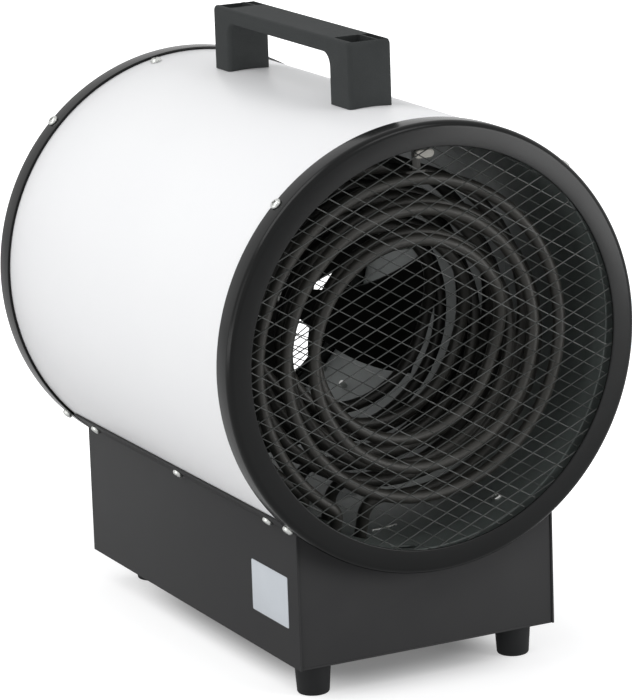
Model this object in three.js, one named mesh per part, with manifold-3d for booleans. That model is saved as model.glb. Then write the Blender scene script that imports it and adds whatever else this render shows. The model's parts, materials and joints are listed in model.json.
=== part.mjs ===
// Electric forced air heater: a round steel drum on a box base, with a fan at the back, three spiral
// heating elements at the front, a diamond mesh grille at each end and a carrying handle on top.
// Millimetres, +Z up, the air outlet faces -Y. The origin is on the floor, at the middle of the object.
import * as THREE from 'three';
import { mergeVertices } from 'three/addons/utils/BufferGeometryUtils.js';
import Module from 'manifold-3d';

const wasm = await Module();
wasm.setup();

// ---------------------------------------------------------------------------------------------
// Driving dimensions. Inside the frame group: X right, Y back from the front face, Z from the drum axis.
// ---------------------------------------------------------------------------------------------

const runClearance = 0.3;        // gap between a piece and what it turns in, rests on or passes through
const overCut = 5;               // how far a cutting tool runs past the faces that it cuts

// facets round each kind of round piece
const roundSegments = 48;        // drum, rings and sleeve
const motorSegments = 28;
const knobSegments = 22;
const footSegments = 18;
const spindleSegments = 16;      // spindles, shaft, hub and gland
const holeSegments = 10;
const screwSegments = 8;
const leadHoleSegments = 12;
const cornerSteps = 2;           // steps in a quarter-round ring or foot edge
const filletSteps = 3;           // steps in a quarter-round handle corner and in a panel flange

// drum and end rings
const bodyLength = 376;          // front ring face to rear ring face
const drumRadius = 148;
const drumWall = 1.2;
const drumEndInset = 4.2;        // drum edge behind the ring's face
const ringProud = 2;             // the ring's band stands this far out from the drum
const ringBandWidth = 17.5;
const ringWall = 1.6;
const ringCornerRadius = 4.5;
const ringLip = 16.6;            // from the ring's outside to its opening

// base
const baseHalfWidth = 96;
const baseDrop = 59.7;           // from the drum's lowest line to the base's underside
const baseFrontY = 21.5;
const baseRearInset = 22.3;
const baseWall = 1.5;
const panelInset = 1;            // front and rear panels stand inside the side panels' edges
const flangeSpan = 5.6;          // degrees of the drum under a side panel's top flange

// feet
const footHeight = 23.3;
const footTopRadius = 12.4;
const footBottomRadius = 10.8;
const footEdgeRadius = 1.6;
const frontFootSideInset = 20;   // foot centres inside the base's sides and ends
const frontFootEndInset = 22.5;
const rearFootSideInset = 38;
const rearFootEndInset = 16.7;

// handle
const handleWidth = 31.8;
const handleFrontY = 80;
const handleRearY = 285.7;
const handleFrontLeg = 30.6;
const handleRearLeg = 24.2;
const handleRise = 43.7;         // from the drum to the top of the grip
const gripThickness = 10.7;
const handleOuterFillet = 4;
const handleInnerFillet = 9;
const wellLength = 19;
const wellWidth = 20;
const wellFloorRise = 10;
const handleSkirt = 6;           // the handle's blank reaches this far into the drum before it is cut to it

// screws
const screwHeadRadius = 3.9;
const screwHeadHeight = 2.5;
const screwShankRadius = 2;
const screwLength = 8;
const screwRimShare = 0.4;       // height of the head's straight rim, as a share of the head
const screwTopShare = 0.7;       // radius of the head's flat top, as a share of the head
const handleScrewLength = 18;
const ringScrewAngles = [44.5, 135.5, 224.5, 315.5];
const frontRingScrewY = 13.2;
const rearRingScrewInset = 8.5;
const sideScrewSpan = 2.5;       // degrees from a side panel's bend to its screws
const sideScrewCount = 3;
const sideScrewFrontInset = 29.5;
const sideScrewRearInset = 26.7;
const drumScrewAngle = 12.4;
const drumScrewInset = 27;

// grilles
const grilleRimPlay = 0.8;       // from the drum's wall to the rim
const grilleRimWidth = 8;
const grilleThickness = 1.6;
const wireWidth = 1.6;
const frontMeshPitch = 22;
const rearMeshPitch = 37;
const wireRiseAngle = 24.1;
const wireFallAngle = 30.7;

// inner sleeve round the elements
const sleeveGap = 8.3;           // from the drum's wall to the sleeve
const sleeveWall = 1;
const sleeveFrontY = 17;
const sleeveRearY = 152;
const sleeveSlotX = -15.5;
const sleeveSlotHalfLength = 9;
const sleeveSlotHalfWidth = 3.5;
const sleeveSlotY = 25;
const sleeveSlotDepth = 20;

// spiral heating elements
const elementCount = 3;
const tubeRadius = 4.25;
const firstElementY = 25.6;
const elementPitch = 48;
const layerGap = 16;             // from an element's front spiral to its return spiral
const spiralCentreZ = -2.9;
const spiralInset = 66;          // from the sleeve to the spiral's radius at angle 0
const spiralPitch = 20.1;        // growth of the radius in one turn
const spiralInnerAngle = -50;    // degrees from the top towards -X
const spiralOuterAngle = 865;
const returnSweep = 860;
const returnDwell = 180;         // the return spiral keeps its inner radius over this angle
const returnInset = 3;
const layerChangeAngle = 60;
const leadBendRadius = 13;
const leadEndDrop = 15;          // the leads end this far under the drum
const leadTilt = 20;             // the leads run down and this many degrees back
const frontStepsPerLoop = 20;
const frontTubeSides = 6;
const innerStepsPerLoop = 15;    // the two elements behind the first
const innerTubeSides = 5;
const bendSteps = 4;
const measureFineness = 6;

// block that holds the elements' leads, under the drum
const leadBlockLeftReach = 3.1;  // past the outermost leads, to a whole millimetre
const leadBlockRightReach = 25.1;
const leadBlockDrop = 8;
const leadBlockEndMargin = 1.5;
const leadHoleClearance = 1.6;

// strap over the elements, hung from the top of the sleeve
const strapWidth = 16;
const strapThickness = 2;
const strapEndMargin = 6;
const strapPostLength = 5;

// fan and motor
const motorRadius = 37;
const motorLength = 69;
const motorRearInset = 55;
const motorBossRadius = 16;
const motorBossLength = 6;
const motorChamfer = 4;
const shaftRadius = 4;
const shaftAheadOfFan = 18;
const shaftDepthInMotor = 26;
const fanAheadOfMotor = 26;
const fanBladeCount = 5;
const fanDiscRadius = 26;
const fanDiscThickness = 2;
const bladeRootRadius = 22;
const bladeTipGap = 29;          // from the drum's outside to the blade tips
const bladeThickness = 1.6;
const bladeCamber = 4;
const bladeRootChord = 26;
const bladeTipChord = 88;
const bladeRootPitch = 36;
const bladeTipPitch = 17;
const bladeSweep = 24;
const bladeStations = 5;
const bladeChordSteps = 3;
const fanStartAngle = 12;
const hubRadius = 12;
const hubAheadOfFan = 12;
const hubLength = 26;
const bracketRingWall = 4;
const bracketRingInset = 21;     // ahead of the motor's rear face
const bracketRingLength = 14;
const bracketArmWidth = 14;
const bracketArmThickness = 3;

// overheat cut-out, between sleeve and drum
const cutoutRadius = 8;
const cutoutY = 80;
const cutoutHeadRoom = 0.6;

// controls and inlet on the rear panel
const modeKnobX = 48;
const thermostatKnobX = -6;
const controlHeight = 29.7;      // above the base's underside
const knobRadius = 17;
const knobTopRadius = 14.5;
const knobDepth = 18;
const knobSkirtDepth = 3;
const knobPointerWidth = 3;
const knobPointerHeight = 1.6;
const knobBoreDepth = 12;
const spindleRadius = 3;
const spindleInBody = 10;
const switchBodyWidth = 38;
const switchBodyDepth = 40;
const thermostatBodyRadius = 17;
const thermostatBodyDepth = 30;
const glandX = -58;
const glandHeight = 27.7;
const glandThreadRadius = 10;
const glandNutRadius = 15;
const glandNutLength = 7;
const glandDomeRadius = 12;
const glandDomeLength = 13;
const glandShoulderShare = 0.6;  // where the dome starts to narrow, as a share of its length
const glandTopShare = 0.8;       // radius of the dome's end, as a share of the dome
const glandInsideLength = 12;
const glandBore = 6.5;

// parts on the base's floor
const contactorSize = [45, 72, 42];
const contactorX = 52;
const contactorRearInset = 173.7;
const terminalSize = [26, 78, 18];
const terminalX = -52;
const terminalRearInset = 103.7;
const terminalWays = 5;
const terminalWayRadius = 3;
const bulbRadius = 3.5;
const bulbLength = 60;
const bulbRearInset = 113.7;
const bulbCapillaryOverlap = 2;
const capillaryRadius = 1.2;

// blank label on the left side panel
const labelFrontInset = 14.5;
const labelLength = 53;
const labelTopHeight = 60.7;
const labelHeight = 35;
const labelThickness = 0.4;

// ---------------------------------------------------------------------------------------------
// Sizes worked out from the driving ones
// ---------------------------------------------------------------------------------------------

const fullTurn = 360;
const degrees = Math.PI / 180;
const drumInnerRadius = drumRadius - drumWall;
const ringRadius = drumRadius + ringProud;
const ringOpeningRadius = ringRadius - ringLip;
const grilleRimOuter = drumInnerRadius - grilleRimPlay;
const grilleRimInner = grilleRimOuter - grilleRimWidth;
const sleeveRadius = drumInnerRadius - sleeveGap;
const sleeveInnerRadius = sleeveRadius - sleeveWall;
const spiralRadiusAtTop = sleeveInnerRadius - spiralInset;

const flangeOuterRadius = drumRadius + runClearance + baseWall;
const panelBendAngle = fullTurn / 2 - Math.asin(baseHalfWidth / flangeOuterRadius) / degrees;
const toTenth = (angle) => Math.round(angle * 10) / 10;
const flangeEndAngle = toTenth(panelBendAngle - flangeSpan);
const sideScrewAngle = toTenth(panelBendAngle - sideScrewSpan);
const baseBottomBelowAxis = drumRadius + baseDrop;
const axisHeight = baseBottomBelowAxis + footHeight;
const baseFloorZ = -baseBottomBelowAxis;
const baseRearY = bodyLength - baseRearInset;
const rearPanelOuterY = baseRearY - panelInset;
const rearPanelInnerY = rearPanelOuterY - baseWall;
const baseFloorTopZ = baseFloorZ + baseWall;
const frontFootX = baseHalfWidth - frontFootSideInset;
const frontFootY = baseFrontY + frontFootEndInset;
const rearFootX = baseHalfWidth - rearFootSideInset;
const rearFootY = baseRearY - rearFootEndInset;
const labelFrontY = baseFrontY + labelFrontInset;
const labelTopZ = baseFloorZ + labelTopHeight;
const controlZ = baseFloorZ + controlHeight;
const glandZ = baseFloorZ + glandHeight;
const contactorY = baseRearY - contactorRearInset;
const terminalY = baseRearY - terminalRearInset;
const bulbY = baseRearY - bulbRearInset;

const handleTopZ = drumRadius + handleRise;
const gripUndersideZ = handleTopZ - gripThickness;
const wellFloorZ = drumRadius + wellFloorRise;

const holeRadius = screwShankRadius + runClearance;
const rearRingScrewY = bodyLength - rearRingScrewInset;
const drumScrewY = bodyLength - drumScrewInset;
const sideScrewFrontY = baseFrontY + sideScrewFrontInset;
const sideScrewPitch = (baseRearY - sideScrewRearInset - sideScrewFrontY) / (sideScrewCount - 1);

const leadEndZ = -(drumRadius + leadEndDrop);
const leadBlockBottomZ = -(drumRadius + leadBlockDrop);

const motorRearY = bodyLength - motorRearInset;
const motorFrontY = motorRearY - motorLength;
const fanPlaneY = motorFrontY - fanAheadOfMotor;
const shaftFrontY = fanPlaneY - shaftAheadOfFan;
const hubFrontY = fanPlaneY - hubAheadOfFan;
const hubRearY = hubFrontY + hubLength;
const bladeTipRadius = drumRadius - bladeTipGap;
const bracketRingFrontY = motorRearY - bracketRingInset;

const paint = (color, roughness, metalness) =>
  new THREE.MeshStandardMaterial({ color, roughness, metalness });
const whitePaint = paint(0xebecec, 0.4, 0.0);
const blackPaint = paint(0x2b2c2c, 0.5, 0.0);
const greyPaint = paint(0x454545, 0.55, 0.0);
const blackPlastic = paint(0x333432, 0.7, 0.0);
const rubber = paint(0x262728, 0.85, 0.0);
const zinc = paint(0xb9bbb8, 0.35, 0.9);
const bareSteel = paint(0x9a9d9b, 0.3, 0.9);
const elementSheath = paint(0x3a3835, 0.6, 0.5);
const fanPaint = paint(0x6c6d68, 0.6, 0.2);
const motorPaint = paint(0x4a4b4a, 0.5, 0.5);
const labelFilm = paint(0xc9cdd0, 0.5, 0.0);
const ceramic = paint(0xd9d2c2, 0.6, 0.0);
const copper = paint(0xa8673a, 0.4, 0.8);

// ---------------------------------------------------------------------------------------------
// Solids and booleans
// ---------------------------------------------------------------------------------------------

/** Shared vertices merged, empty triangles dropped and every face turned outwards. */
function closed(source) {
  const geometry = source.clone();
  geometry.deleteAttribute('normal');
  geometry.deleteAttribute('uv');
  const merged = mergeVertices(geometry, 1e-4);
  const index = merged.index.array;
  const kept = [];
  for (let i = 0; i < index.length; i += 3) {
    const [a, b, c] = [index[i], index[i + 1], index[i + 2]];
    if (a !== b && b !== c && a !== c) kept.push([a, b, c]);
  }
  const corner = (i) => new THREE.Vector3().fromBufferAttribute(merged.attributes.position, i);
  const volume = kept.reduce((sum, [a, b, c]) => sum + corner(a).dot(corner(b).cross(corner(c))), 0);
  merged.setIndex((volume < 0 ? kept.map(([a, b, c]) => [a, c, b]) : kept).flat());
  merged.computeVertexNormals();
  return merged;
}

function toManifold(geometry) {
  const solid = closed(geometry);
  const vertProperties = new Float32Array(solid.attributes.position.array);
  const triVerts = new Uint32Array(solid.index.array);
  return new wasm.Manifold(new wasm.Mesh({ numProp: 3, vertProperties, triVerts }));
}

function fromManifold(manifold) {
  const mesh = manifold.getMesh();
  const geometry = new THREE.BufferGeometry();
  geometry.setAttribute('position', new THREE.BufferAttribute(new Float32Array(mesh.vertProperties), 3));
  geometry.setIndex(new THREE.BufferAttribute(new Uint32Array(mesh.triVerts), 1));
  geometry.computeVertexNormals();
  return geometry;
}

/** The base shape with every tool cut away. */
function cut(base, tools) {
  return fromManifold(tools.reduce((solid, tool) => solid.subtract(toManifold(tool)), toManifold(base)));
}

/** The base shape with every addition joined on. */
function join(base, additions) {
  return fromManifold(additions.reduce((solid, piece) => solid.add(toManifold(piece)), toManifold(base)));
}

/** A box between two corners. */
function boxBetween(low, high) {
  const size = high.map((value, axis) => value - low[axis]);
  const geometry = new THREE.BoxGeometry(...size);
  return geometry.translate(...low.map((value, axis) => value + size[axis] / 2));
}

/** Points of a quarter circle about a centre, from an angle in degrees and over a signed turn. */
function quarterRound([cx, cy], radius, startAngle, turn, steps) {
  return Array.from({ length: steps + 1 }, (_, i) => {
    const angle = (startAngle + (turn * i) / steps) * degrees;
    return [cx + radius * Math.cos(angle), cy + radius * Math.sin(angle)];
  });
}

/** A solid of revolution about Y; the profile is a closed loop of [radius, y] points. */
function turned(profile, segments = roundSegments) {
  const points = [...profile, profile[0]].map(([radius, y]) => new THREE.Vector2(radius, y));
  return closed(new THREE.LatheGeometry(points, segments));
}

/** A plain tube or, with no inner radius, a plain cylinder about Y. */
function turnedTube(inner, outer, y0, y1, segments = roundSegments) {
  return turned([[inner, y0], [outer, y0], [outer, y1], [inner, y1]], segments);
}

/** A cylinder of the given radius between two points. */
function rodBetween(from, to, radius, segments = holeSegments) {
  const start = new THREE.Vector3(...from);
  const along = new THREE.Vector3(...to).sub(start);
  const geometry = new THREE.CylinderGeometry(radius, radius, along.length(), segments);
  geometry.translate(0, along.length() / 2, 0);
  const turn = new THREE.Quaternion().setFromUnitVectors(new THREE.Vector3(0, 1, 0), along.normalize());
  return geometry.applyQuaternion(turn).translate(start.x, start.y, start.z);
}

/** The direction away from the drum axis at an angle from the top towards -X. */
function outwards(angle) {
  return [-Math.sin(angle * degrees), 0, Math.cos(angle * degrees)];
}

/** The point at a radius, angle and depth. */
function onDrum(radius, angle, y) {
  const [x, , z] = outwards(angle);
  return [x * radius, y, z * radius];
}

/** A side outline of [y, z] points, extruded along X between two planes. */
function sideExtrusion(outline, x0, x1) {
  const shape = new THREE.Shape(outline.map(([y, z]) => new THREE.Vector2(y, z)));
  const geometry = new THREE.ExtrudeGeometry(shape, { depth: x1 - x0, bevelEnabled: false });
  const toSide = new THREE.Matrix4().makeBasis(
    new THREE.Vector3(0, 1, 0), new THREE.Vector3(0, 0, 1), new THREE.Vector3(1, 0, 0));
  return geometry.applyMatrix4(toSide).translate(x0, 0, 0);
}

const frame = new THREE.Group();
frame.position.set(0, -bodyLength / 2, axisHeight);

function addPiece(name, geometry, material, parent = frame) {
  const mesh = new THREE.Mesh(closed(geometry), material);
  mesh.name = name;
  parent.add(mesh);
  return mesh;
}

// ---------------------------------------------------------------------------------------------
// Fasteners
// ---------------------------------------------------------------------------------------------

/** A pan head screw along +Y, its head's underside at y = 0. */
function screwGeometry(length) {
  const r = screwHeadRadius;
  const h = screwHeadHeight;
  return turned([
    [0, -length], [screwShankRadius, -length], [screwShankRadius, 0], [r, 0],
    [r, h * screwRimShare], [r * screwTopShare, h], [0, h],
  ], screwSegments);
}

function addScrew(name, seat, direction, length = screwLength) {
  const mesh = addPiece(name, screwGeometry(length), zinc);
  mesh.position.set(...seat);
  mesh.quaternion.setFromUnitVectors(new THREE.Vector3(0, 1, 0), new THREE.Vector3(...direction));
}

/** A clearance hole on the line of a radial screw. */
function radialHole(angle, y) {
  return rodBetween(
    onDrum(drumInnerRadius - overCut, angle, y), onDrum(flangeOuterRadius + overCut, angle, y), holeRadius);
}

const ringScrewHoles = (y) => ringScrewAngles.map((angle) => radialHole(angle, y));
const sideScrewYs = Array.from(
  { length: sideScrewCount }, (_, i) => sideScrewFrontY + i * sideScrewPitch);
const sideScrewHoles = [-1, 1].flatMap((side) =>
  sideScrewYs.map((y) => radialHole(side * sideScrewAngle, y)));
const handleScrewYs = [
  handleFrontY + handleFrontLeg / 2,
  handleRearY - handleRearLeg / 2,
];
const handleScrewHoles = handleScrewYs.map((y) =>
  rodBetween([0, y, drumInnerRadius - overCut], [0, y, wellFloorZ + overCut], holeRadius));

function addScrews() {
  const ringSeat = ringRadius + runClearance;
  for (const [end, y] of [['front', frontRingScrewY], ['rear', rearRingScrewY]]) {
    ringScrewAngles.forEach((angle, i) => {
      addScrew(`${end}_ring_screw_${i + 1}`, onDrum(ringSeat, angle, y), outwards(angle));
    });
  }
  const flangeSeat = flangeOuterRadius + runClearance;
  for (const [side, sign] of [['left', 1], ['right', -1]]) {
    sideScrewYs.forEach((y, i) => {
      const angle = sign * sideScrewAngle;
      addScrew(`base_screw_${side}_${i + 1}`, onDrum(flangeSeat, angle, y), outwards(angle));
    });
  }
  const drumSeat = drumRadius + runClearance;
  addScrew('drum_screw', onDrum(drumSeat, drumScrewAngle, drumScrewY), outwards(drumScrewAngle));
  ['front', 'rear'].forEach((end, i) => {
    const seat = [0, handleScrewYs[i], wellFloorZ + runClearance];
    addScrew(`handle_screw_${end}`, seat, [0, 0, 1], handleScrewLength);
  });
}

// ---------------------------------------------------------------------------------------------
// Drum, end rings and inner sleeve
// ---------------------------------------------------------------------------------------------

/** Holes on the lines of the elements' leads. */
function leadHoles(radius) {
  return leadLines.map(([from, to]) => {
    const past = to.clone().addScaledVector(leadWay, overCut);
    return rodBetween(from.toArray(), past.toArray(), radius, leadHoleSegments);
  });
}

function addDrum() {
  const shell = turnedTube(drumInnerRadius, drumRadius, drumEndInset, bodyLength - drumEndInset);
  addPiece('drum_shell', cut(shell, [
    ...ringScrewHoles(frontRingScrewY),
    ...ringScrewHoles(rearRingScrewY),
    ...sideScrewHoles,
    ...handleScrewHoles,
    radialHole(drumScrewAngle, drumScrewY),
    ...leadHoles(tubeRadius + leadHoleClearance),
  ]), whitePaint);
}

/** A pressed end ring: rounded outer corner, flat face and a band over the drum. */
function ringGeometry() {
  const corner = quarterRound(
    [ringRadius - ringCornerRadius, ringCornerRadius], ringCornerRadius, -90, 90, cornerSteps);
  const bandInner = drumRadius + runClearance;
  return turned([
    [ringOpeningRadius, 0], ...corner, [ringRadius, ringBandWidth], [bandInner, ringBandWidth],
    [bandInner, ringWall * 2], [bandInner - ringWall, ringWall], [ringOpeningRadius, ringWall],
  ]);
}

/** A front-end shape turned round to the rear end. */
function atRear(geometry) {
  return geometry.rotateZ(Math.PI).translate(0, bodyLength, 0);
}

function addRings() {
  addPiece('front_ring', cut(ringGeometry(), ringScrewHoles(frontRingScrewY)), blackPaint);
  addPiece('rear_ring', cut(atRear(ringGeometry()), ringScrewHoles(rearRingScrewY)), blackPaint);
}

/** A thin tube round the elements, with a turned-out flange at each end that meets the drum. */
function addSleeve() {
  const flange = drumInnerRadius - runClearance;
  const sleeve = turned([
    [sleeveInnerRadius, sleeveFrontY], [flange, sleeveFrontY], [flange, sleeveFrontY + sleeveWall],
    [sleeveRadius, sleeveFrontY + sleeveWall], [sleeveRadius, sleeveRearY - sleeveWall],
    [flange, sleeveRearY - sleeveWall], [flange, sleeveRearY], [sleeveInnerRadius, sleeveRearY],
  ]);
  const slot = new THREE.CylinderGeometry(
    sleeveSlotHalfWidth, sleeveSlotHalfWidth, sleeveSlotDepth, leadHoleSegments);
  slot.scale(sleeveSlotHalfLength / sleeveSlotHalfWidth, 1, 1).rotateX(Math.PI / 2);
  slot.translate(sleeveSlotX, sleeveSlotY, -sleeveRadius);
  addPiece('inner_sleeve', cut(sleeve, [slot, ...leadHoles(tubeRadius + leadHoleClearance)]), bareSteel);
}

// ---------------------------------------------------------------------------------------------
// Grilles
// ---------------------------------------------------------------------------------------------

/** A flat diamond mesh inside a rim, at the front end. */
function grilleGeometry(pitch) {
  const y0 = ringWall;
  const y1 = ringWall + grilleThickness;
  const reach = (grilleRimInner + grilleRimOuter) / 2;
  let mesh = toManifold(turnedTube(grilleRimInner, grilleRimOuter, y0, y1));
  for (const angle of [wireRiseAngle, -wireFallAngle]) {
    for (let i = -Math.floor(reach / pitch); i * pitch < reach; i += 1) {
      const halfLength = Math.sqrt(reach ** 2 - (i * pitch) ** 2);
      const [z0, z1] = [i * pitch - wireWidth / 2, i * pitch + wireWidth / 2];
      const wire = boxBetween([-halfLength, y0, z0], [halfLength, y1, z1]);
      mesh = mesh.add(toManifold(wire.rotateY(-angle * degrees)));
    }
  }
  return fromManifold(mesh);
}

function addGrilles() {
  addPiece('front_grille', grilleGeometry(frontMeshPitch), blackPaint);
  addPiece('rear_grille', atRear(grilleGeometry(rearMeshPitch)), blackPaint);
}

// ---------------------------------------------------------------------------------------------
// Heating elements
// ---------------------------------------------------------------------------------------------

const leadWay = new THREE.Vector3(0, Math.sin(leadTilt * degrees), -Math.cos(leadTilt * degrees));

function spiralPoint(radius, angle, y) {
  return new THREE.Vector3(
    -radius * Math.sin(angle * degrees), y, spiralCentreZ + radius * Math.cos(angle * degrees));
}

const spiralRadius = (angle) => spiralRadiusAtTop + (spiralPitch * angle) / fullTurn;

/** Angle, radius and layer of the front spiral (inwards) and then of the return spiral (outwards). */
function windingPoints(stepAngle) {
  const points = [];
  const inwardSteps = Math.round((spiralOuterAngle - spiralInnerAngle) / stepAngle);
  for (let i = 0; i <= inwardSteps; i += 1) {
    const angle = spiralOuterAngle + ((spiralInnerAngle - spiralOuterAngle) * i) / inwardSteps;
    points.push(spiralPoint(spiralRadius(angle), angle, 0));
  }
  const outwardSteps = Math.round(returnSweep / stepAngle);
  for (let i = 1; i <= outwardSteps; i += 1) {
    const swept = (returnSweep * i) / outwardSteps;
    const eased = THREE.MathUtils.smoothstep(swept, 0, layerChangeAngle);
    const growth = (spiralPitch * Math.max(0, swept - returnDwell)) / fullTurn;
    const radius = spiralRadius(spiralInnerAngle) - returnInset * eased + growth;
    points.push(spiralPoint(radius, spiralInnerAngle - swept, layerGap * eased));
  }
  return points;
}

/** The way that the winding leaves along its outer end, with rising or falling angle. */
function windingTangent(angle, way) {
  return new THREE.Vector3(-way * Math.cos(angle * degrees), 0, -way * Math.sin(angle * degrees));
}

/** Points of a rounded corner from the end of the winding into a straight lead. */
function leadBend(end, away, steps) {
  const turn = away.angleTo(leadWay);
  const tangent = leadBendRadius * Math.tan(turn / 2);
  const corner = end.clone().addScaledVector(away, tangent);
  const centreWay = leadWay.clone().sub(away).normalize();
  const centre = corner.clone().addScaledVector(centreWay, leadBendRadius / Math.cos(turn / 2));
  const first = end.clone().sub(centre);
  const axis = away.clone().cross(leadWay).normalize();
  const points = [];
  for (let i = 1; i <= steps; i += 1) {
    points.push(centre.clone().add(first.clone().applyAxisAngle(axis, (turn * i) / steps)));
  }
  return points;
}

/** The whole centreline of one element, from one lead end to the other. */
function elementPath(stepAngle, stepsInBend) {
  const winding = windingPoints(stepAngle);
  const last = winding.length - 1;
  const outerWay = windingTangent(spiralOuterAngle, 1);
  const returnWay = windingTangent(spiralInnerAngle - returnSweep, -1);
  const inBend = leadBend(winding[0], outerWay, stepsInBend);
  const outBend = leadBend(winding[last], returnWay, stepsInBend);
  const leadEnd = (point) => point.clone().addScaledVector(leadWay, (leadEndZ - point.z) / leadWay.z);
  return [leadEnd(inBend.at(-1)), ...inBend.toReversed(), ...winding, ...outBend, leadEnd(outBend.at(-1))];
}

/** One closed tube along a list of points, its rings carried round without twist. */
function sweptTube(path, radius, sides) {
  const positions = [];
  const triangles = [];
  let side = new THREE.Vector3(0, 1, 0);
  path.forEach((point, i) => {
    const before = path[Math.max(0, i - 1)];
    const after = path[Math.min(path.length - 1, i + 1)];
    const along = after.clone().sub(before).normalize();
    side = side.clone().addScaledVector(along, -side.dot(along)).normalize();
    const other = along.clone().cross(side);
    for (let k = 0; k < sides; k += 1) {
      const angle = (2 * Math.PI * k) / sides;
      const offset = side.clone().multiplyScalar(Math.cos(angle)).addScaledVector(other, Math.sin(angle));
      positions.push(...point.clone().addScaledVector(offset, radius).toArray());
    }
  });
  for (let i = 0; i + 1 < path.length; i += 1) {
    for (let k = 0; k < sides; k += 1) {
      const [a, b] = [i * sides + k, i * sides + ((k + 1) % sides)];
      triangles.push(a, b, b + sides, a, b + sides, a + sides);
    }
  }
  const lastRing = (path.length - 1) * sides;
  for (let k = 1; k + 1 < sides; k += 1) {
    triangles.push(0, k + 1, k, lastRing, lastRing + k, lastRing + k + 1);
  }
  const geometry = new THREE.BufferGeometry();
  geometry.setAttribute('position', new THREE.Float32BufferAttribute(positions, 3));
  geometry.setIndex(triangles);
  return geometry;
}

/** The least gap of a tube to itself, measured on points of its centreline. */
function leastSelfGap(path, radius) {
  const run = [0];
  for (let i = 1; i < path.length; i += 1) run.push(run[i - 1] + path[i].distanceTo(path[i - 1]));
  let least = Infinity;
  for (let i = 0; i < path.length; i += 1) {
    for (let j = i + 1; j < path.length; j += 1) {
      if (run[j] - run[i] > 2 * Math.PI * radius * 2) least = Math.min(least, path[i].distanceTo(path[j]));
    }
  }
  return least - 2 * radius;
}

const elementYs = Array.from({ length: elementCount }, (_, i) => firstElementY + i * elementPitch);
const fineCentreline = elementPath(
  fullTurn / (frontStepsPerLoop * measureFineness), bendSteps * measureFineness);
console.log(`heating element: least gap to itself ${leastSelfGap(fineCentreline, tubeRadius).toFixed(2)} mm`);
const leadLines = elementYs.flatMap((y) => [[1, 0], [-2, -1]].map((ends) =>
  ends.map((i) => fineCentreline.at(i).clone().add(new THREE.Vector3(0, y, 0)))));
leadLines.forEach((line) => line.sort((a, b) => b.z - a.z));

function addElements() {
  const names = ['heating_element_front', 'heating_element_middle', 'heating_element_rear'];
  elementYs.forEach((y, i) => {
    const steps = i === 0 ? frontStepsPerLoop : innerStepsPerLoop;
    const sides = i === 0 ? frontTubeSides : innerTubeSides;
    const tube = sweptTube(elementPath(fullTurn / steps, bendSteps), tubeRadius, sides);
    addPiece(names[i] ?? `heating_element_${i + 1}`, tube.translate(0, y, 0), elementSheath);
  });
  const leadYs = leadLines.map(([, to]) => to.y);
  const leadXs = leadLines.map(([, to]) => to.x);
  const blockLeftX = Math.round(Math.min(...leadXs) - leadBlockLeftReach);
  const blockRightX = Math.round(Math.max(...leadXs) + leadBlockRightReach);
  const blockTopZ = -Math.sqrt((drumRadius + runClearance) ** 2 - blockLeftX ** 2) + 1;
  const rise = (blockTopZ - leadEndZ) * Math.tan(leadTilt * degrees);
  const blockFrontY = Math.min(...leadYs) - rise - tubeRadius - leadBlockEndMargin;
  const blockRearY = Math.max(...leadYs) + tubeRadius + leadBlockEndMargin;
  const block = boxBetween(
    [blockLeftX, blockFrontY, leadBlockBottomZ], [blockRightX, blockRearY, blockTopZ]);
  addPiece('element_lead_block', cut(block, [
    turnedTube(0, drumRadius + runClearance, blockFrontY - overCut, blockRearY + overCut),
    ...leadHoles(tubeRadius + runClearance),
  ]), ceramic);
}

/** A flat strap over the outermost turns, with a post up to the sleeve at each end. */
function addElementStrap() {
  const lastTop = Math.floor(spiralOuterAngle / fullTurn) * fullTurn;
  const bottomZ = spiralCentreZ + spiralRadius(lastTop) + tubeRadius + 2 * runClearance;
  const frontY = elementYs[0] - strapEndMargin;
  const rearY = elementYs.at(-1) + strapEndMargin;
  const half = strapWidth / 2;
  const sleeveZ = Math.sqrt(sleeveInnerRadius ** 2 - half ** 2) - runClearance;
  const bar = boxBetween([-half, frontY, bottomZ], [half, rearY, bottomZ + strapThickness]);
  const posts = [frontY, rearY - strapPostLength].map((y) =>
    boxBetween([-half, y, bottomZ], [half, y + strapPostLength, sleeveZ]));
  addPiece('element_strap', join(bar, posts), zinc);
}

function addThermalCutout() {
  const bottom = sleeveRadius + runClearance;
  const top = Math.sqrt(drumInnerRadius ** 2 - cutoutRadius ** 2) - cutoutHeadRoom;
  const cutout = rodBetween([0, cutoutY, bottom], [0, cutoutY, top], cutoutRadius, knobSegments);
  addPiece('thermal_cutout', cutout, blackPlastic);
}

// ---------------------------------------------------------------------------------------------
// Fan and motor
// ---------------------------------------------------------------------------------------------

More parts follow.
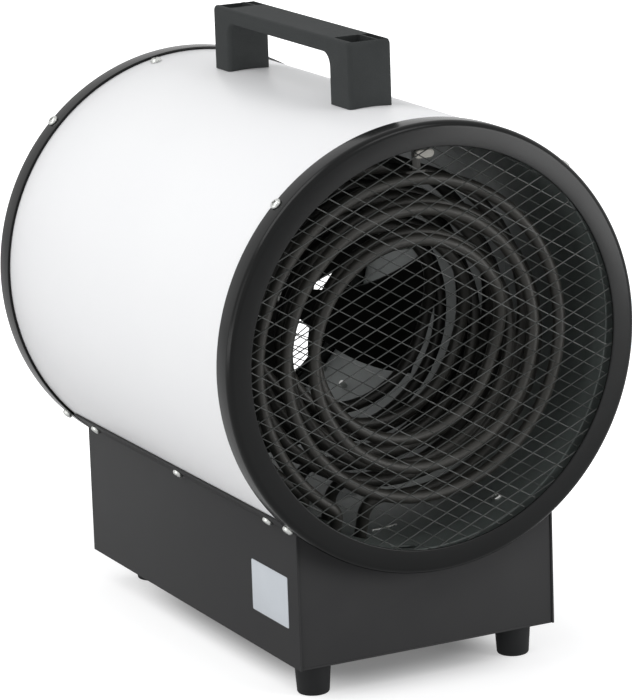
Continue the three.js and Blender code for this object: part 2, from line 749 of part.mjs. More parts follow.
/** One swept and twisted blade: stations along the radius, steps along the chord, one sheet thick. */
function bladeGeometry(startAngle) {
  const positions = [];
  const triangles = [];
  const columns = bladeChordSteps + 1;
  const corner = (layer, station, column) => (layer * bladeStations + station) * columns + column;
  for (const layer of [0, 1]) {
    for (let s = 0; s < bladeStations; s += 1) {
      const share = s / (bladeStations - 1);
      const radius = THREE.MathUtils.lerp(bladeRootRadius, bladeTipRadius, share);
      const chord = THREE.MathUtils.lerp(bladeRootChord, bladeTipChord, share);
      const pitch = THREE.MathUtils.lerp(bladeRootPitch, bladeTipPitch, share) * degrees;
      const middle = (startAngle + bladeSweep * share) * degrees;
      for (let c = 0; c < columns; c += 1) {
        const along = chord * (c / bladeChordSteps - 0.5);
        const camber = bladeCamber * share * (1 - (2 * c / bladeChordSteps - 1) ** 2);
        const angle = middle + (along * Math.cos(pitch)) / radius;
        const y = fanPlaneY + along * Math.sin(pitch) + camber + (layer - 0.5) * bladeThickness;
        positions.push(-radius * Math.sin(angle), y, radius * Math.cos(angle));
      }
    }
  }
  const quad = (a, b, c, d) => triangles.push(a, b, c, a, c, d);
  for (let s = 0; s + 1 < bladeStations; s += 1) {
    for (let c = 0; c + 1 < columns; c += 1) {
      quad(corner(0, s, c), corner(0, s + 1, c), corner(0, s + 1, c + 1), corner(0, s, c + 1));
      quad(corner(1, s, c), corner(1, s, c + 1), corner(1, s + 1, c + 1), corner(1, s + 1, c));
    }
    const e = columns - 1;
    quad(corner(0, s, 0), corner(1, s, 0), corner(1, s + 1, 0), corner(0, s + 1, 0));
    quad(corner(0, s, e), corner(0, s + 1, e), corner(1, s + 1, e), corner(1, s, e));
  }
  for (let c = 0; c + 1 < columns; c += 1) {
    const t = bladeStations - 1;
    quad(corner(0, 0, c), corner(0, 0, c + 1), corner(1, 0, c + 1), corner(1, 0, c));
    quad(corner(0, t, c), corner(1, t, c), corner(1, t, c + 1), corner(0, t, c + 1));
  }
  const geometry = new THREE.BufferGeometry();
  geometry.setAttribute('position', new THREE.Float32BufferAttribute(positions, 3));
  geometry.setIndex(triangles);
  return geometry;
}

function addFan() {
  const bore = shaftRadius + runClearance;
  const shaftRearY = motorFrontY + shaftDepthInMotor;
  addPiece('fan_shaft', turnedTube(0, shaftRadius, shaftFrontY, shaftRearY, spindleSegments), bareSteel);
  addPiece('fan_hub', turnedTube(bore, hubRadius, hubFrontY, hubRearY, spindleSegments), bareSteel);
  const discInner = hubRadius + runClearance;
  const discFrontY = fanPlaneY - fanDiscThickness / 2;
  const disc = turnedTube(
    discInner, fanDiscRadius, discFrontY, discFrontY + fanDiscThickness, motorSegments);
  const blades = Array.from({ length: fanBladeCount }, (_, i) =>
    bladeGeometry(fanStartAngle + (fullTurn * i) / fanBladeCount));
  addPiece('fan_wheel', join(disc, blades), fanPaint);
}

function addMotor() {
  const bore = shaftRadius + runClearance;
  const boreEnd = motorFrontY + shaftDepthInMotor + runClearance;
  const shoulder = motorRadius - motorChamfer;
  addPiece('motor_body', turned([
    [bore, motorFrontY - motorBossLength], [motorBossRadius, motorFrontY - motorBossLength],
    [motorBossRadius, motorFrontY], [shoulder, motorFrontY], [motorRadius, motorFrontY + motorChamfer],
    [motorRadius, motorRearY - motorChamfer], [shoulder, motorRearY], [0, motorRearY], [0, boreEnd],
    [bore, boreEnd],
  ], motorSegments), motorPaint);
  const ringInner = motorRadius + runClearance;
  const ringRearY = bracketRingFrontY + bracketRingLength;
  const ringOuter = ringInner + bracketRingWall;
  const clamp = turnedTube(ringInner, ringOuter, bracketRingFrontY, ringRearY, motorSegments);
  const reach = drumInnerRadius * Math.cos(Math.PI / roundSegments) - runClearance;
  const halfArm = bracketArmWidth / 2;
  const armOuterX = Math.sqrt(reach ** 2 - halfArm ** 2);
  const armFrontY = (bracketRingFrontY + ringRearY - bracketArmThickness) / 2;
  const arms = [0, 90, 180, 270].map((turn) => boxBetween(
    [ringInner + bracketRingWall / 2, armFrontY, -halfArm],
    [armOuterX, armFrontY + bracketArmThickness, halfArm]).rotateY(turn * degrees));
  addPiece('motor_bracket', join(clamp, arms), zinc);
}

// ---------------------------------------------------------------------------------------------
// Base, feet and label
// ---------------------------------------------------------------------------------------------

/** A side panel's section: upright from the floor, then laid against the drum as a flange. */
function sidePanelGeometry() {
  const inner = drumRadius + runClearance;
  const outerTurn = Math.asin(baseHalfWidth / flangeOuterRadius);
  const innerTurn = Math.asin((baseHalfWidth - baseWall) / inner);
  const end = Math.PI - flangeEndAngle * degrees;
  const arc = (radius, from, to) => Array.from({ length: filletSteps + 1 }, (_, i) => {
    const angle = from + ((to - from) * i) / filletSteps;
    return new THREE.Vector2(-radius * Math.sin(angle), -radius * Math.cos(angle));
  });
  const section = new THREE.Shape([
    new THREE.Vector2(-baseHalfWidth, baseFloorZ),
    new THREE.Vector2(-baseHalfWidth + baseWall, baseFloorZ),
    ...arc(inner, innerTurn, end),
    ...arc(flangeOuterRadius, end, outerTurn),
  ]);
  const depth = baseRearY - baseFrontY;
  const geometry = new THREE.ExtrudeGeometry(section, { depth, bevelEnabled: false });
  return geometry.rotateX(Math.PI / 2).translate(0, baseRearY, 0);
}

function addBase() {
  const left = sidePanelGeometry();
  const drumSpace = () => turnedTube(
    0, drumRadius + runClearance, baseFrontY - overCut, baseRearY + overCut);
  addPiece('base_side_left', cut(left, [drumSpace(), ...sideScrewHoles]), greyPaint);
  const right = closed(sidePanelGeometry().scale(-1, 1, 1));
  addPiece('base_side_right', cut(right, [drumSpace(), ...sideScrewHoles]), greyPaint);

  const half = baseHalfWidth - baseWall;
  addPiece('base_bottom_plate', boxBetween(
    [-half, baseFrontY + panelInset, baseFloorZ], [half, rearPanelOuterY, baseFloorTopZ]), greyPaint);

  const panelTopZ = -Math.sqrt((drumRadius + runClearance) ** 2 - half ** 2) + 1;
  const frontPanelY = baseFrontY + panelInset;
  const frontPanel = boxBetween(
    [-half, frontPanelY, baseFloorTopZ], [half, frontPanelY + baseWall, panelTopZ]);
  addPiece('base_front_panel', cut(frontPanel, [drumSpace()]), greyPaint);

  const panelHole = (x, z, radius) => rodBetween(
    [x, rearPanelInnerY - overCut, z], [x, rearPanelOuterY + overCut, z], radius, spindleSegments);
  const spindleHole = (x) => panelHole(x, controlZ, spindleRadius + runClearance);
  const glandHole = panelHole(glandX, glandZ, glandThreadRadius + runClearance);
  const rearPanel = boxBetween([-half, rearPanelInnerY, baseFloorTopZ], [half, rearPanelOuterY, panelTopZ]);
  addPiece('base_rear_panel', cut(rearPanel, [
    drumSpace(), spindleHole(modeKnobX), spindleHole(thermostatKnobX), glandHole,
  ]), greyPaint);

  addPiece('rating_label', boxBetween(
    [-baseHalfWidth - labelThickness, labelFrontY, labelTopZ - labelHeight],
    [-baseHalfWidth, labelFrontY + labelLength, labelTopZ]), labelFilm);
}

/** A tapered rubber foot with a rounded lower edge, its top at y = 0 before it is stood upright. */
function footGeometry() {
  const edge = quarterRound(
    [footBottomRadius - footEdgeRadius, footEdgeRadius - footHeight], footEdgeRadius, -90, 90, cornerSteps);
  return turned([[0, -footHeight], ...edge, [footTopRadius, 0], [0, 0]], footSegments).rotateX(Math.PI / 2);
}

function addFeet() {
  const places = {
    foot_front_left: [-frontFootX, frontFootY],
    foot_front_right: [frontFootX, frontFootY],
    foot_rear_left: [-rearFootX, rearFootY],
    foot_rear_right: [rearFootX, rearFootY],
  };
  for (const [name, [x, y]] of Object.entries(places)) {
    addPiece(name, footGeometry(), rubber).position.set(x, y, baseFloorZ);
  }
}

// ---------------------------------------------------------------------------------------------
// Handle
// ---------------------------------------------------------------------------------------------

function addHandle() {
  const bottom = drumRadius - handleSkirt;
  const innerFront = handleFrontY + handleFrontLeg;
  const innerRear = handleRearY - handleRearLeg;
  const out = handleOuterFillet;
  const inn = handleInnerFillet;
  const outline = [
    [handleFrontY, bottom],
    [innerFront, bottom],
    ...quarterRound([innerFront + inn, gripUndersideZ - inn], inn, 180, -90, filletSteps),
    ...quarterRound([innerRear - inn, gripUndersideZ - inn], inn, 90, -90, filletSteps),
    [innerRear, bottom],
    [handleRearY, bottom],
    ...quarterRound([handleRearY - out, handleTopZ - out], out, 0, 90, filletSteps),
    ...quarterRound([handleFrontY + out, handleTopZ - out], out, 90, 90, filletSteps),
  ];
  const bar = sideExtrusion(outline, -handleWidth / 2, handleWidth / 2);
  const wells = handleScrewYs.map((y) => boxBetween(
    [-wellWidth / 2, y - wellLength / 2, wellFloorZ],
    [wellWidth / 2, y + wellLength / 2, handleTopZ + overCut]));
  addPiece('handle', cut(bar, [
    turnedTube(0, drumRadius + runClearance, handleFrontY - overCut, handleRearY + overCut),
    ...wells,
    ...handleScrewHoles,
  ]), blackPlastic);
}

// ---------------------------------------------------------------------------------------------
// Controls and electrical parts
// ---------------------------------------------------------------------------------------------

/** A knob about Y with a raised pointer; it opens towards the panel. */
function knobGeometry() {
  const front = rearPanelOuterY + runClearance;
  const back = front + knobDepth;
  const bore = spindleRadius + runClearance;
  const body = turned([
    [bore, front], [knobRadius, front], [knobRadius, front + knobSkirtDepth], [knobTopRadius, back],
    [0, back], [0, front + knobBoreDepth], [bore, front + knobBoreDepth],
  ], knobSegments);
  const pointer = boxBetween(
    [-knobPointerWidth / 2, back - knobPointerHeight, 0],
    [knobPointerWidth / 2, back + knobPointerHeight, knobTopRadius - knobPointerHeight]);
  return join(body, [pointer]);
}

function spindleGeometry() {
  const front = rearPanelInnerY - spindleInBody;
  const back = rearPanelOuterY + knobBoreDepth;
  return turnedTube(0, spindleRadius, front, back, spindleSegments);
}

function addControls() {
  const boreFrontY = rearPanelInnerY - spindleInBody - runClearance;
  const bore = () => turnedTube(
    0, spindleRadius + runClearance, boreFrontY, rearPanelInnerY + overCut, spindleSegments);
  const half = switchBodyWidth / 2;
  const switchBody = boxBetween(
    [-half, rearPanelInnerY - switchBodyDepth, -half], [half, rearPanelInnerY, half]);
  addPiece('mode_switch_body', cut(switchBody, [bore()]), blackPlastic).position.set(modeKnobX, 0, controlZ);
  addPiece('mode_switch_spindle', spindleGeometry(), zinc).position.set(modeKnobX, 0, controlZ);
  addPiece('mode_knob', knobGeometry(), blackPlastic).position.set(modeKnobX, 0, controlZ);

  const thermostatBody = turnedTube(
    0, thermostatBodyRadius, rearPanelInnerY - thermostatBodyDepth, rearPanelInnerY, knobSegments);
  addPiece('thermostat_body', cut(thermostatBody, [bore()]), zinc).position.set(thermostatKnobX, 0, controlZ);
  addPiece('thermostat_spindle', spindleGeometry(), zinc).position.set(thermostatKnobX, 0, controlZ);
  addPiece('thermostat_knob', knobGeometry(), blackPlastic).position.set(thermostatKnobX, 0, controlZ);

  const bodyFrontY = rearPanelInnerY - thermostatBodyDepth - runClearance - capillaryRadius / 2;
  const bulbZ = baseFloorTopZ + bulbRadius + runClearance;
  const capillary = rodBetween(
    [thermostatKnobX, bodyFrontY, controlZ],
    [thermostatKnobX, bulbY + bulbLength - bulbCapillaryOverlap, bulbZ], capillaryRadius);
  const bulb = rodBetween(
    [thermostatKnobX, bulbY, bulbZ], [thermostatKnobX, bulbY + bulbLength, bulbZ], bulbRadius);
  addPiece('thermostat_bulb', join(bulb, [capillary]), copper);
}

/** The cable gland: a hollow threaded body through the panel with a domed cap, and its nut inside. */
function addGland() {
  const outside = rearPanelOuterY;
  const capTop = outside + glandDomeLength;
  const thread = glandThreadRadius;
  addPiece('cable_gland', turned([
    [glandBore, rearPanelInnerY - glandInsideLength], [thread, rearPanelInnerY - glandInsideLength],
    [thread, outside], [glandDomeRadius, outside],
    [glandDomeRadius, outside + glandDomeLength * glandShoulderShare],
    [glandDomeRadius * glandTopShare, capTop], [glandBore, capTop],
  ], spindleSegments), blackPlastic).position.set(glandX, 0, glandZ);
  const nutFrontY = rearPanelInnerY - glandNutLength;
  const hexagon = turnedTube(0, glandNutRadius, nutFrontY, rearPanelInnerY, 6);
  const nutBore = turnedTube(
    0, thread + runClearance, nutFrontY - overCut, rearPanelInnerY + overCut, spindleSegments);
  addPiece('cable_gland_nut', cut(hexagon, [nutBore]), blackPlastic).position.set(glandX, 0, glandZ);
}

/** A box standing on the base's floor, centred on x and y. */
function standingBox([width, length, height], x, y) {
  return boxBetween(
    [x - width / 2, y - length / 2, baseFloorTopZ], [x + width / 2, y + length / 2, baseFloorTopZ + height]);
}

function addElectrics() {
  addPiece('contactor', standingBox(contactorSize, contactorX, contactorY), blackPlastic);
  const wayPitch = terminalSize[1] / terminalWays;
  const ways = Array.from({ length: terminalWays }, (_, i) => {
    const y = terminalY + (i - (terminalWays - 1) / 2) * wayPitch;
    const z = baseFloorTopZ + terminalSize[2] / 2;
    const reach = terminalSize[0];
    return rodBetween([terminalX - reach, y, z], [terminalX + reach, y, z], terminalWayRadius);
  });
  addPiece('terminal_block', cut(standingBox(terminalSize, terminalX, terminalY), ways), ceramic);
}

addDrum();
addRings();
addSleeve();
addGrilles();
addElements();
addElementStrap();
addThermalCutout();
addFan();
addMotor();
addBase();
addFeet();
addHandle();
addControls();
addGland();
addElectrics();
addScrews();

const heater = new THREE.Group();
heater.add(frame);

export default heater;
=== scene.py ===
import json
import math

import bmesh
import bpy
import numpy as np
from mathutils import Matrix, Vector


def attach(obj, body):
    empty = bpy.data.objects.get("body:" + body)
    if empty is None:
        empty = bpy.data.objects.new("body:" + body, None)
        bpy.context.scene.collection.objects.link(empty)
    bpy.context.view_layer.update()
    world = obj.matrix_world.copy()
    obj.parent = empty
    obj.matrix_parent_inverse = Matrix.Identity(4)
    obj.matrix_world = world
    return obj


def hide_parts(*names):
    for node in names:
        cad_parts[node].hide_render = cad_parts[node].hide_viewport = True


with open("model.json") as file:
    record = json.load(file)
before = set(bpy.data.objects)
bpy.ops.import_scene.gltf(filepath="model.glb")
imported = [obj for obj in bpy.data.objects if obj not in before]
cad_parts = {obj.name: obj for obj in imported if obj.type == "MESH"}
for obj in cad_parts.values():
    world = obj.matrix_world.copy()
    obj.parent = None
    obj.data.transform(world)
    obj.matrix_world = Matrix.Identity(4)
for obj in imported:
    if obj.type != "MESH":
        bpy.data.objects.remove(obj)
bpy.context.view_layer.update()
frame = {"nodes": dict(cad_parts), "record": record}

# Sizes in millimetres, as in the CAD: X right, Y back from the front face, Z from the drum axis.
# Angles in degrees; those about the drum axis run from the top towards -X.
METRE = 1000
BODY_LENGTH = 376
AXIS_HEIGHT = 231
FRONT_FACE_ON_AXIS = (0, -BODY_LENGTH / 2, AXIS_HEIGHT)
CLEARANCE = 0.3
BIG_ROUND, WIDE_ROUND, MIDDLE_ROUND, SMALL_ROUND = 256, 128, 96, 64  # segments, by size
DRUM_RADIUS = 148
DRUM_WALL = 1.2
DRUM_INSET = 4.2
DRUM_EDGE = 0.3
RING_RADIUS = 150
RING_BAND = 17.5
RING_WALL = 1.6
RING_OPENING = 133.4
RING_ROUNDING = (0.7, 4.5, 0.5, 0.2, 0, 0, 0.4)
BASE_HALF = 96
BASE_BOTTOM = -207.7
BASE_FRONT = 21.5
BASE_REAR = 353.7
BASE_WALL = 1.5
PANEL_INSET = 1
REAR_PANEL_Y = BASE_REAR - PANEL_INSET
FLANGE_END = 134.5
HANDLE_WIDTH = 31.8
HANDLE_FRONT = 80
HANDLE_REAR = 285.7
HANDLE_FRONT_LEG = 30.6
HANDLE_REAR_LEG = 24.2
HANDLE_TOP = 191.7
HANDLE_SCREW_YS = (HANDLE_FRONT + HANDLE_FRONT_LEG / 2, HANDLE_REAR - HANDLE_REAR_LEG / 2)
GRIP_UNDERSIDE = 181
WELL_FLOOR = 158
SLEEVE_RADIUS = 138.5
SLEEVE_WALL = 1
SLEEVE_FRONT = 17
SLEEVE_REAR = 152
TUBE_RADIUS = 4.25


# ---- Camera, floor and light; places in metres ----

CAMERA_PLACE = (-1.1830, -2.3762, 0.8479)
CAMERA_AZIMUTH, CAMERA_ELEVATION, CAMERA_ROLL = -26.596, 13.873, -1.990
CAMERA_LENS = 203.63
CAMERA_SENSOR = 36
CAMERA_REACH = 50
WHITE = (1, 1, 1, 1)
SKY_COLOR = (0.97, 0.98, 1.0, 1)
SKY_LIGHT = 0.56
FLOOR_HALF = 12
FLOOR_PAINT = 0.6
FLOOR_IN_MIRRORS = 0.4  # how much of the floor's glow gloss shows
# The floor's glow is dimmed inside a rounded box of these halves about this centre: a painted shadow
# round the base, laid under the object's cast one.
SHADOW_HALF = (0.096, 0.1785)
SHADOW_CENTRE_Y = -0.012
SHADOW_NORM = 4  # 2 would make the shadow's edge an ellipse, more squares it
FLOOR_GLOWS = ((0.6, 0.98, 0.14, 0.6), (1.0, 3.5, 0.0, 0.5))  # near, far, glow near, glow far
OBJECT_MIDDLE = (0, 0, 0.22)
LAMPS = (  # name, place, aim, size, watts
    ("key", (-1.8, 0.3, 2.85), OBJECT_MIDDLE, (2.0, 2.0), 38),
    ("side_fill", (-2.6, -0.9, 0.7), OBJECT_MIDDLE, (1.6, 1.6), 8),
    ("right_box", (0.72, -1.0, 0.32), (0.05, -0.19, 0.25), (0.5, 0.56), 5.5),
    ("top_box", (0.5, -1.3, 1.6), (0.03, -0.12, 0.11), (0.6, 0.6), 4),
    ("low_fill", (-1.7, -0.1, 0.22), (0, 0, 0.15), (1.8, 0.35), 4.5),
)


def link_object(name, data):
    thing = bpy.data.objects.new(name, data)
    bpy.context.scene.collection.objects.link(thing)
    return thing


def add_camera():
    """The camera at the photograph's place and angle."""
    azimuth, elevation, roll = map(math.radians, (CAMERA_AZIMUTH, CAMERA_ELEVATION, CAMERA_ROLL))
    back = Vector((math.sin(azimuth) * math.cos(elevation),
                   -math.cos(azimuth) * math.cos(elevation), math.sin(elevation)))
    right = Vector((math.cos(azimuth), math.sin(azimuth), 0))
    up = back.cross(right)
    tilted_right = math.cos(roll) * right + math.sin(roll) * up
    tilted_up = -math.sin(roll) * right + math.cos(roll) * up
    data = bpy.data.cameras.new("camera")
    data.lens = CAMERA_LENS
    data.sensor_width = CAMERA_SENSOR
    data.clip_end = CAMERA_REACH
    camera = link_object("camera", data)
    axes = Matrix((tilted_right, tilted_up, back)).transposed().to_4x4()
    camera.matrix_world = Matrix.Translation(CAMERA_PLACE) @ axes
    bpy.context.scene.camera = camera


def add_node(tree, kind, inputs=None, **settings):
    """A shader node; each input is set to a value or linked to another node's output."""
    node = tree.nodes.new("ShaderNode" + kind)
    for name, value in settings.items():
        setattr(node, name, value)
    for socket, value in (inputs or {}).items():
        if isinstance(value, bpy.types.NodeSocket):
            tree.links.new(value, node.inputs[socket])
        else:
            node.inputs[socket].default_value = value
    return node


def calculate(tree, operation, a, b):
    return add_node(tree, "Math", {0: a, 1: b}, operation=operation).outputs[0]


def seen_directly(tree, in_mirrors=1.0):
    """A value that is 1 for what the camera sees, and in_mirrors for what gloss and glass show."""
    ray = add_node(tree, "LightPath").outputs
    shown = calculate(tree, "MAXIMUM", ray["Is Glossy Ray"], ray["Is Transmission Ray"])
    share = calculate(tree, "MULTIPLY", shown, in_mirrors)
    return calculate(tree, "MAXIMUM", ray["Is Camera Ray"], share)


def add_world():
    """A soft sky on the object, and plain white behind it."""
    world = bpy.data.worlds.new("studio")
    bpy.context.scene.world = world
    world.use_nodes = True
    tree = world.node_tree
    tree.nodes.clear()
    soft = add_node(tree, "Background", {"Color": SKY_COLOR, "Strength": SKY_LIGHT})
    white = add_node(tree, "Background", {"Color": WHITE, "Strength": 1.0})
    mix = add_node(tree, "MixShader", {0: seen_directly(tree), 1: soft.outputs[0], 2: white.outputs[0]})
    add_node(tree, "OutputWorld", {"Surface": mix.outputs[0]})


def distance_from_shadow(tree):
    """How far a point of the floor is from the object's middle, as a share of the shadow's half."""
    where = add_node(tree, "TexCoord").outputs["Object"]
    spans = add_node(tree, "Mapping", {"Vector": where, "Scale": (*SHADOW_HALF, 1),
                                       "Location": (0, SHADOW_CENTRE_Y, 0)}, vector_type="TEXTURE")
    squares = add_node(tree, "VectorMath", {0: spans.outputs[0], 1: spans.outputs[0]},
                       operation="MULTIPLY")
    fourths = add_node(tree, "VectorMath", {0: squares.outputs[0], 1: squares.outputs[0]},
                       operation="DOT_PRODUCT")
    return calculate(tree, "POWER", fourths.outputs["Value"], 1 / SHADOW_NORM)


def add_floor():
    """A white floor that keeps the object's soft cast shadow, adds a painted shadow by glowing less round
    the base's footprint, and clears to white away from it.
    """
    mesh = bpy.data.meshes.new("floor")
    half = FLOOR_HALF
    mesh.from_pydata([(x, y, 0) for x, y in rectangle(-half, -half, half, half)], [], [(0, 1, 2, 3)])
    floor = link_object("floor", mesh)
    paint = bpy.data.materials.new("floor")
    paint.use_nodes = True
    tree = paint.node_tree
    tree.nodes.clear()
    away = distance_from_shadow(tree)
    # Low glow near the base is painted shadow; the glow rises to white further out.
    glows = [add_node(tree, "MapRange", {"Value": away, "From Min": near, "From Max": far,
                                         "To Min": low, "To Max": high},
                      interpolation_type="SMOOTHSTEP").outputs[0]
             for near, far, low, high in FLOOR_GLOWS]
    total = calculate(tree, "ADD", *glows)
    shown = calculate(tree, "MULTIPLY", seen_directly(tree, FLOOR_IN_MIRRORS), total)
    glow = add_node(tree, "Emission", {"Color": WHITE, "Strength": shown})
    shade = add_node(tree, "BsdfDiffuse", {"Color": (FLOOR_PAINT, FLOOR_PAINT, FLOOR_PAINT, 1)})
    both = add_node(tree, "AddShader", {0: shade.outputs[0], 1: glow.outputs[0]})
    add_node(tree, "OutputMaterial", {"Surface": both.outputs[0]})
    mesh.materials.append(paint)


def add_lights():
    for name, place, aim, size, watts in LAMPS:
        data = bpy.data.lights.new(name, "AREA")
        data.shape = "RECTANGLE"
        data.size, data.size_y = size
        data.energy = watts
        lamp = link_object(name, data)
        turn = (Vector(aim) - Vector(place)).to_track_quat("-Z", "Y").to_matrix().to_4x4()
        lamp.matrix_world = Matrix.Translation(place) @ turn
        lamp.visible_camera = False


# ---- Materials ----

MIX_FACTOR, MIX_A, MIX_B, MIX_RESULT = 0, 6, 7, 2  # a Mix node's sockets for colours
GRAIN_DETAIL = 3
NOISE_SPAN = (0.6, 1.4)  # where the sum of the two noises mostly lies

# Light and dark sRGB levels, roughness from and to, scales of patches and grain, bump, its depth
# in millimetres, metallic, specular.
LOOKS = {
    "drum_paint": ((241, 241, 241), (237, 237, 238), (0.34, 0.42), 9, 1100, 0.12, 0.12, 0, 0.3),
    "drum_inside": ((160, 163, 162), (146, 149, 148), (0.45, 0.6), 18, 1100, 0.15, 0.1, 0, 0.15),
    # Painted shade: the drum's inner wall in front of the sleeve, the same sheet as drum_inside, made
    # dark where it lies in shadow.
    "drum_mouth_painted_shade": ((52, 55, 54), (40, 43, 42), (0.5, 0.65), 18, 1100, 0.15, 0.1, 0, 0.15),
    "black_paint": ((15, 16, 16), (11, 12, 12), (0.17, 0.24), 30, 1500, 0.22, 0.08, 0, 0.18),
    "mesh_paint": ((42, 45, 43), (30, 33, 31), (0.35, 0.55), 220, 2400, 0.2, 0.05, 0, 0.5),
    "base_paint": ((60, 60, 60), (53, 53, 54), (0.52, 0.62), 24, 2600, 0.45, 0.09, 0, 0.08),
    "handle_plastic": ((62, 64, 64), (50, 52, 52), (0.6, 0.75), 60, 1300, 0.8, 0.3, 0, 0.07),
    "black_plastic": ((36, 37, 37), (28, 29, 29), (0.4, 0.55), 60, 2000, 0.3, 0.08, 0, 0.35),
    "foot_rubber": ((28, 29, 30), (20, 21, 22), (0.5, 0.72), 70, 1800, 0.4, 0.1, 0, 0.25),
    "zinc_steel": ((215, 216, 212), (178, 180, 178), (0.22, 0.36), 300, 3000, 0.15, 0.04, 1, 0.5),
    "sleeve_steel": ((110, 117, 114), (88, 94, 92), (0.36, 0.5), 26, 900, 0.12, 0.06, 0.3, 0.5),
    "element_sheath": ((52, 51, 47), (34, 33, 31), (0.36, 0.55), 46, 1600, 0.35, 0.08, 0.2, 0.4),
    "fan_paint": ((38, 38, 35), (30, 30, 28), (0.45, 0.58), 40, 1400, 0.2, 0.06, 0.2, 0.3),
    "motor_paint": ((60, 61, 60), (46, 47, 47), (0.4, 0.55), 60, 1600, 0.3, 0.08, 0.2, 0.3),
    "label_film": ((201, 206, 211), (194, 199, 204), (0.35, 0.45), 60, 1200, 0.08, 0.04, 0, 0.3),
    "ceramic": ((176, 174, 166), (158, 156, 148), (0.35, 0.5), 80, 1400, 0.2, 0.06, 0, 0.4),
    "copper": ((190, 122, 84), (160, 98, 66), (0.28, 0.42), 90, 1600, 0.12, 0.04, 1, 0.5),
}
FINER_LOOKS = {"sleeve_steel": dict(stretch=(1, 6, 1)), "element_sheath": dict(patch_detail=6)}


def linear_color(levels):
    """Linear light for sRGB levels from 0 to 255, with full alpha."""
    shares = [level / 255 for level in levels]
    return tuple(v / 12.92 if v <= 0.04045 else ((v + 0.055) / 1.055) ** 2.4 for v in shares) + (1,)


def surface(name, light, dark, rough, patch, grain, bump, bump_depth, metallic, specular,
            patch_detail=4, stretch=(1, 1, 1)):
    """A painted, moulded or plated surface: two colours in slow patches, a fine grain in height
    and a roughness that varies with both."""
    mat = bpy.data.materials.new(name)
    mat.use_nodes = True
    tree = mat.node_tree
    shader = tree.nodes["Principled BSDF"]
    shader.inputs["Metallic"].default_value = metallic
    shader.inputs["Specular IOR Level"].default_value = specular

    where = add_node(tree, "TexCoord").outputs["Object"]
    place = add_node(tree, "Mapping", {"Vector": where, "Scale": stretch}).outputs[0]
    slow = add_node(tree, "TexNoise", {"Vector": place, "Scale": patch, "Detail": patch_detail})
    fine = add_node(tree, "TexNoise", {"Vector": place, "Scale": grain, "Detail": GRAIN_DETAIL})
    slow, fine = slow.outputs["Fac"], fine.outputs["Fac"]
    colors = add_node(tree, "Mix", {MIX_FACTOR: slow, MIX_A: linear_color(dark),
                                    MIX_B: linear_color(light)}, data_type="RGBA")
    tree.links.new(colors.outputs[MIX_RESULT], shader.inputs["Base Color"])
    spread = add_node(tree, "MapRange", {
        "Value": calculate(tree, "ADD", slow, fine), "From Min": NOISE_SPAN[0],
        "From Max": NOISE_SPAN[1], "To Min": rough[0], "To Max": rough[1]})
    tree.links.new(spread.outputs[0], shader.inputs["Roughness"])
    relief = add_node(tree, "Bump", {"Strength": bump, "Distance": bump_depth / METRE,
                                   "Height": fine})
    tree.links.new(relief.outputs[0], shader.inputs["Normal"])
    return mat


# ---- Mesh helpers ----

SMOOTH_ANGLE = 35
TUBE_SMOOTH_ANGLE = 60
SAME_POINT = 1e-7  # metres
ON_AXIS = 1e-6  # millimetres
MOST_OF_SIDE = 0.49  # that the rounding of one corner may take


def row_metres(points):
    """Points in the part's millimetres as points in the row frame, in metres."""
    return (np.array(points, float) + FRONT_FACE_ON_AXIS) / METRE


def part_millimetres(point):
    """A mesh point in the row frame, in metres, as one in the part's millimetres."""
    return point * METRE - Vector(FRONT_FACE_ON_AXIS)


def shade(mesh, angle):
    mesh.shade_smooth()
    mesh.set_sharp_from_angle(angle=math.radians(angle))


def mesh_object(name, points, faces, smooth_angle=SMOOTH_ANGLE):
    mesh = bpy.data.meshes.new(name)
    mesh.from_pydata(row_metres(points).tolist(), [], faces)
    mesh.validate()
    cleaned = bmesh.new()
    cleaned.from_mesh(mesh)
    bmesh.ops.remove_doubles(cleaned, verts=cleaned.verts, dist=SAME_POINT)
    bmesh.ops.recalc_face_normals(cleaned, faces=cleaned.faces)
    cleaned.to_mesh(mesh)
    cleaned.free()
    shade(mesh, smooth_angle)
    return link_object(name, mesh)


def bake_modifiers(piece, smooth_angle=SMOOTH_ANGLE):
    """The piece's modifiers worked into its mesh."""
    bpy.context.view_layer.update()
    graph = bpy.context.evaluated_depsgraph_get()
    mesh = bpy.data.meshes.new_from_object(piece.evaluated_get(graph))
    piece.modifiers.clear()
    piece.data = mesh
    shade(mesh, smooth_angle)
    return piece


def bevelled(piece, width, segments=2, angle=30):
    """The piece with its sharp edges rounded."""
    modifier = piece.modifiers.new("bevel", "BEVEL")
    modifier.width = width / METRE
    modifier.segments = segments
    modifier.limit_method = "ANGLE"
    modifier.angle_limit = math.radians(angle)
    modifier.use_clamp_overlap = True
    return bake_modifiers(piece)


def combine(piece, tools, operation="DIFFERENCE", smooth_angle=SMOOTH_ANGLE):
    """The piece with the tools cut away or joined on."""
    for tool in tools:
        modifier = piece.modifiers.new("cut", "BOOLEAN")
        modifier.operation = operation
        modifier.solver = "EXACT"
        modifier.object = tool
    bake_modifiers(piece, smooth_angle)
    for tool in tools:
        bpy.data.objects.remove(tool)
    return piece


def dress(piece, slot, *nodes, body="housing"):
    """The piece gets its slot's material, rides on its body and stands for the nodes."""
    piece.data.materials.clear()
    piece.data.materials.append(MATERIALS[slot])
    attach(piece, body)
    if nodes:
        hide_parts(*nodes)


def circle_angles(count):
    return [2 * math.pi * k / count for k in range(count)]


def rectangle(low_a, low_b, high_a, high_b):
    return [(low_a, low_b), (high_a, low_b), (high_a, high_b), (low_a, high_b)]


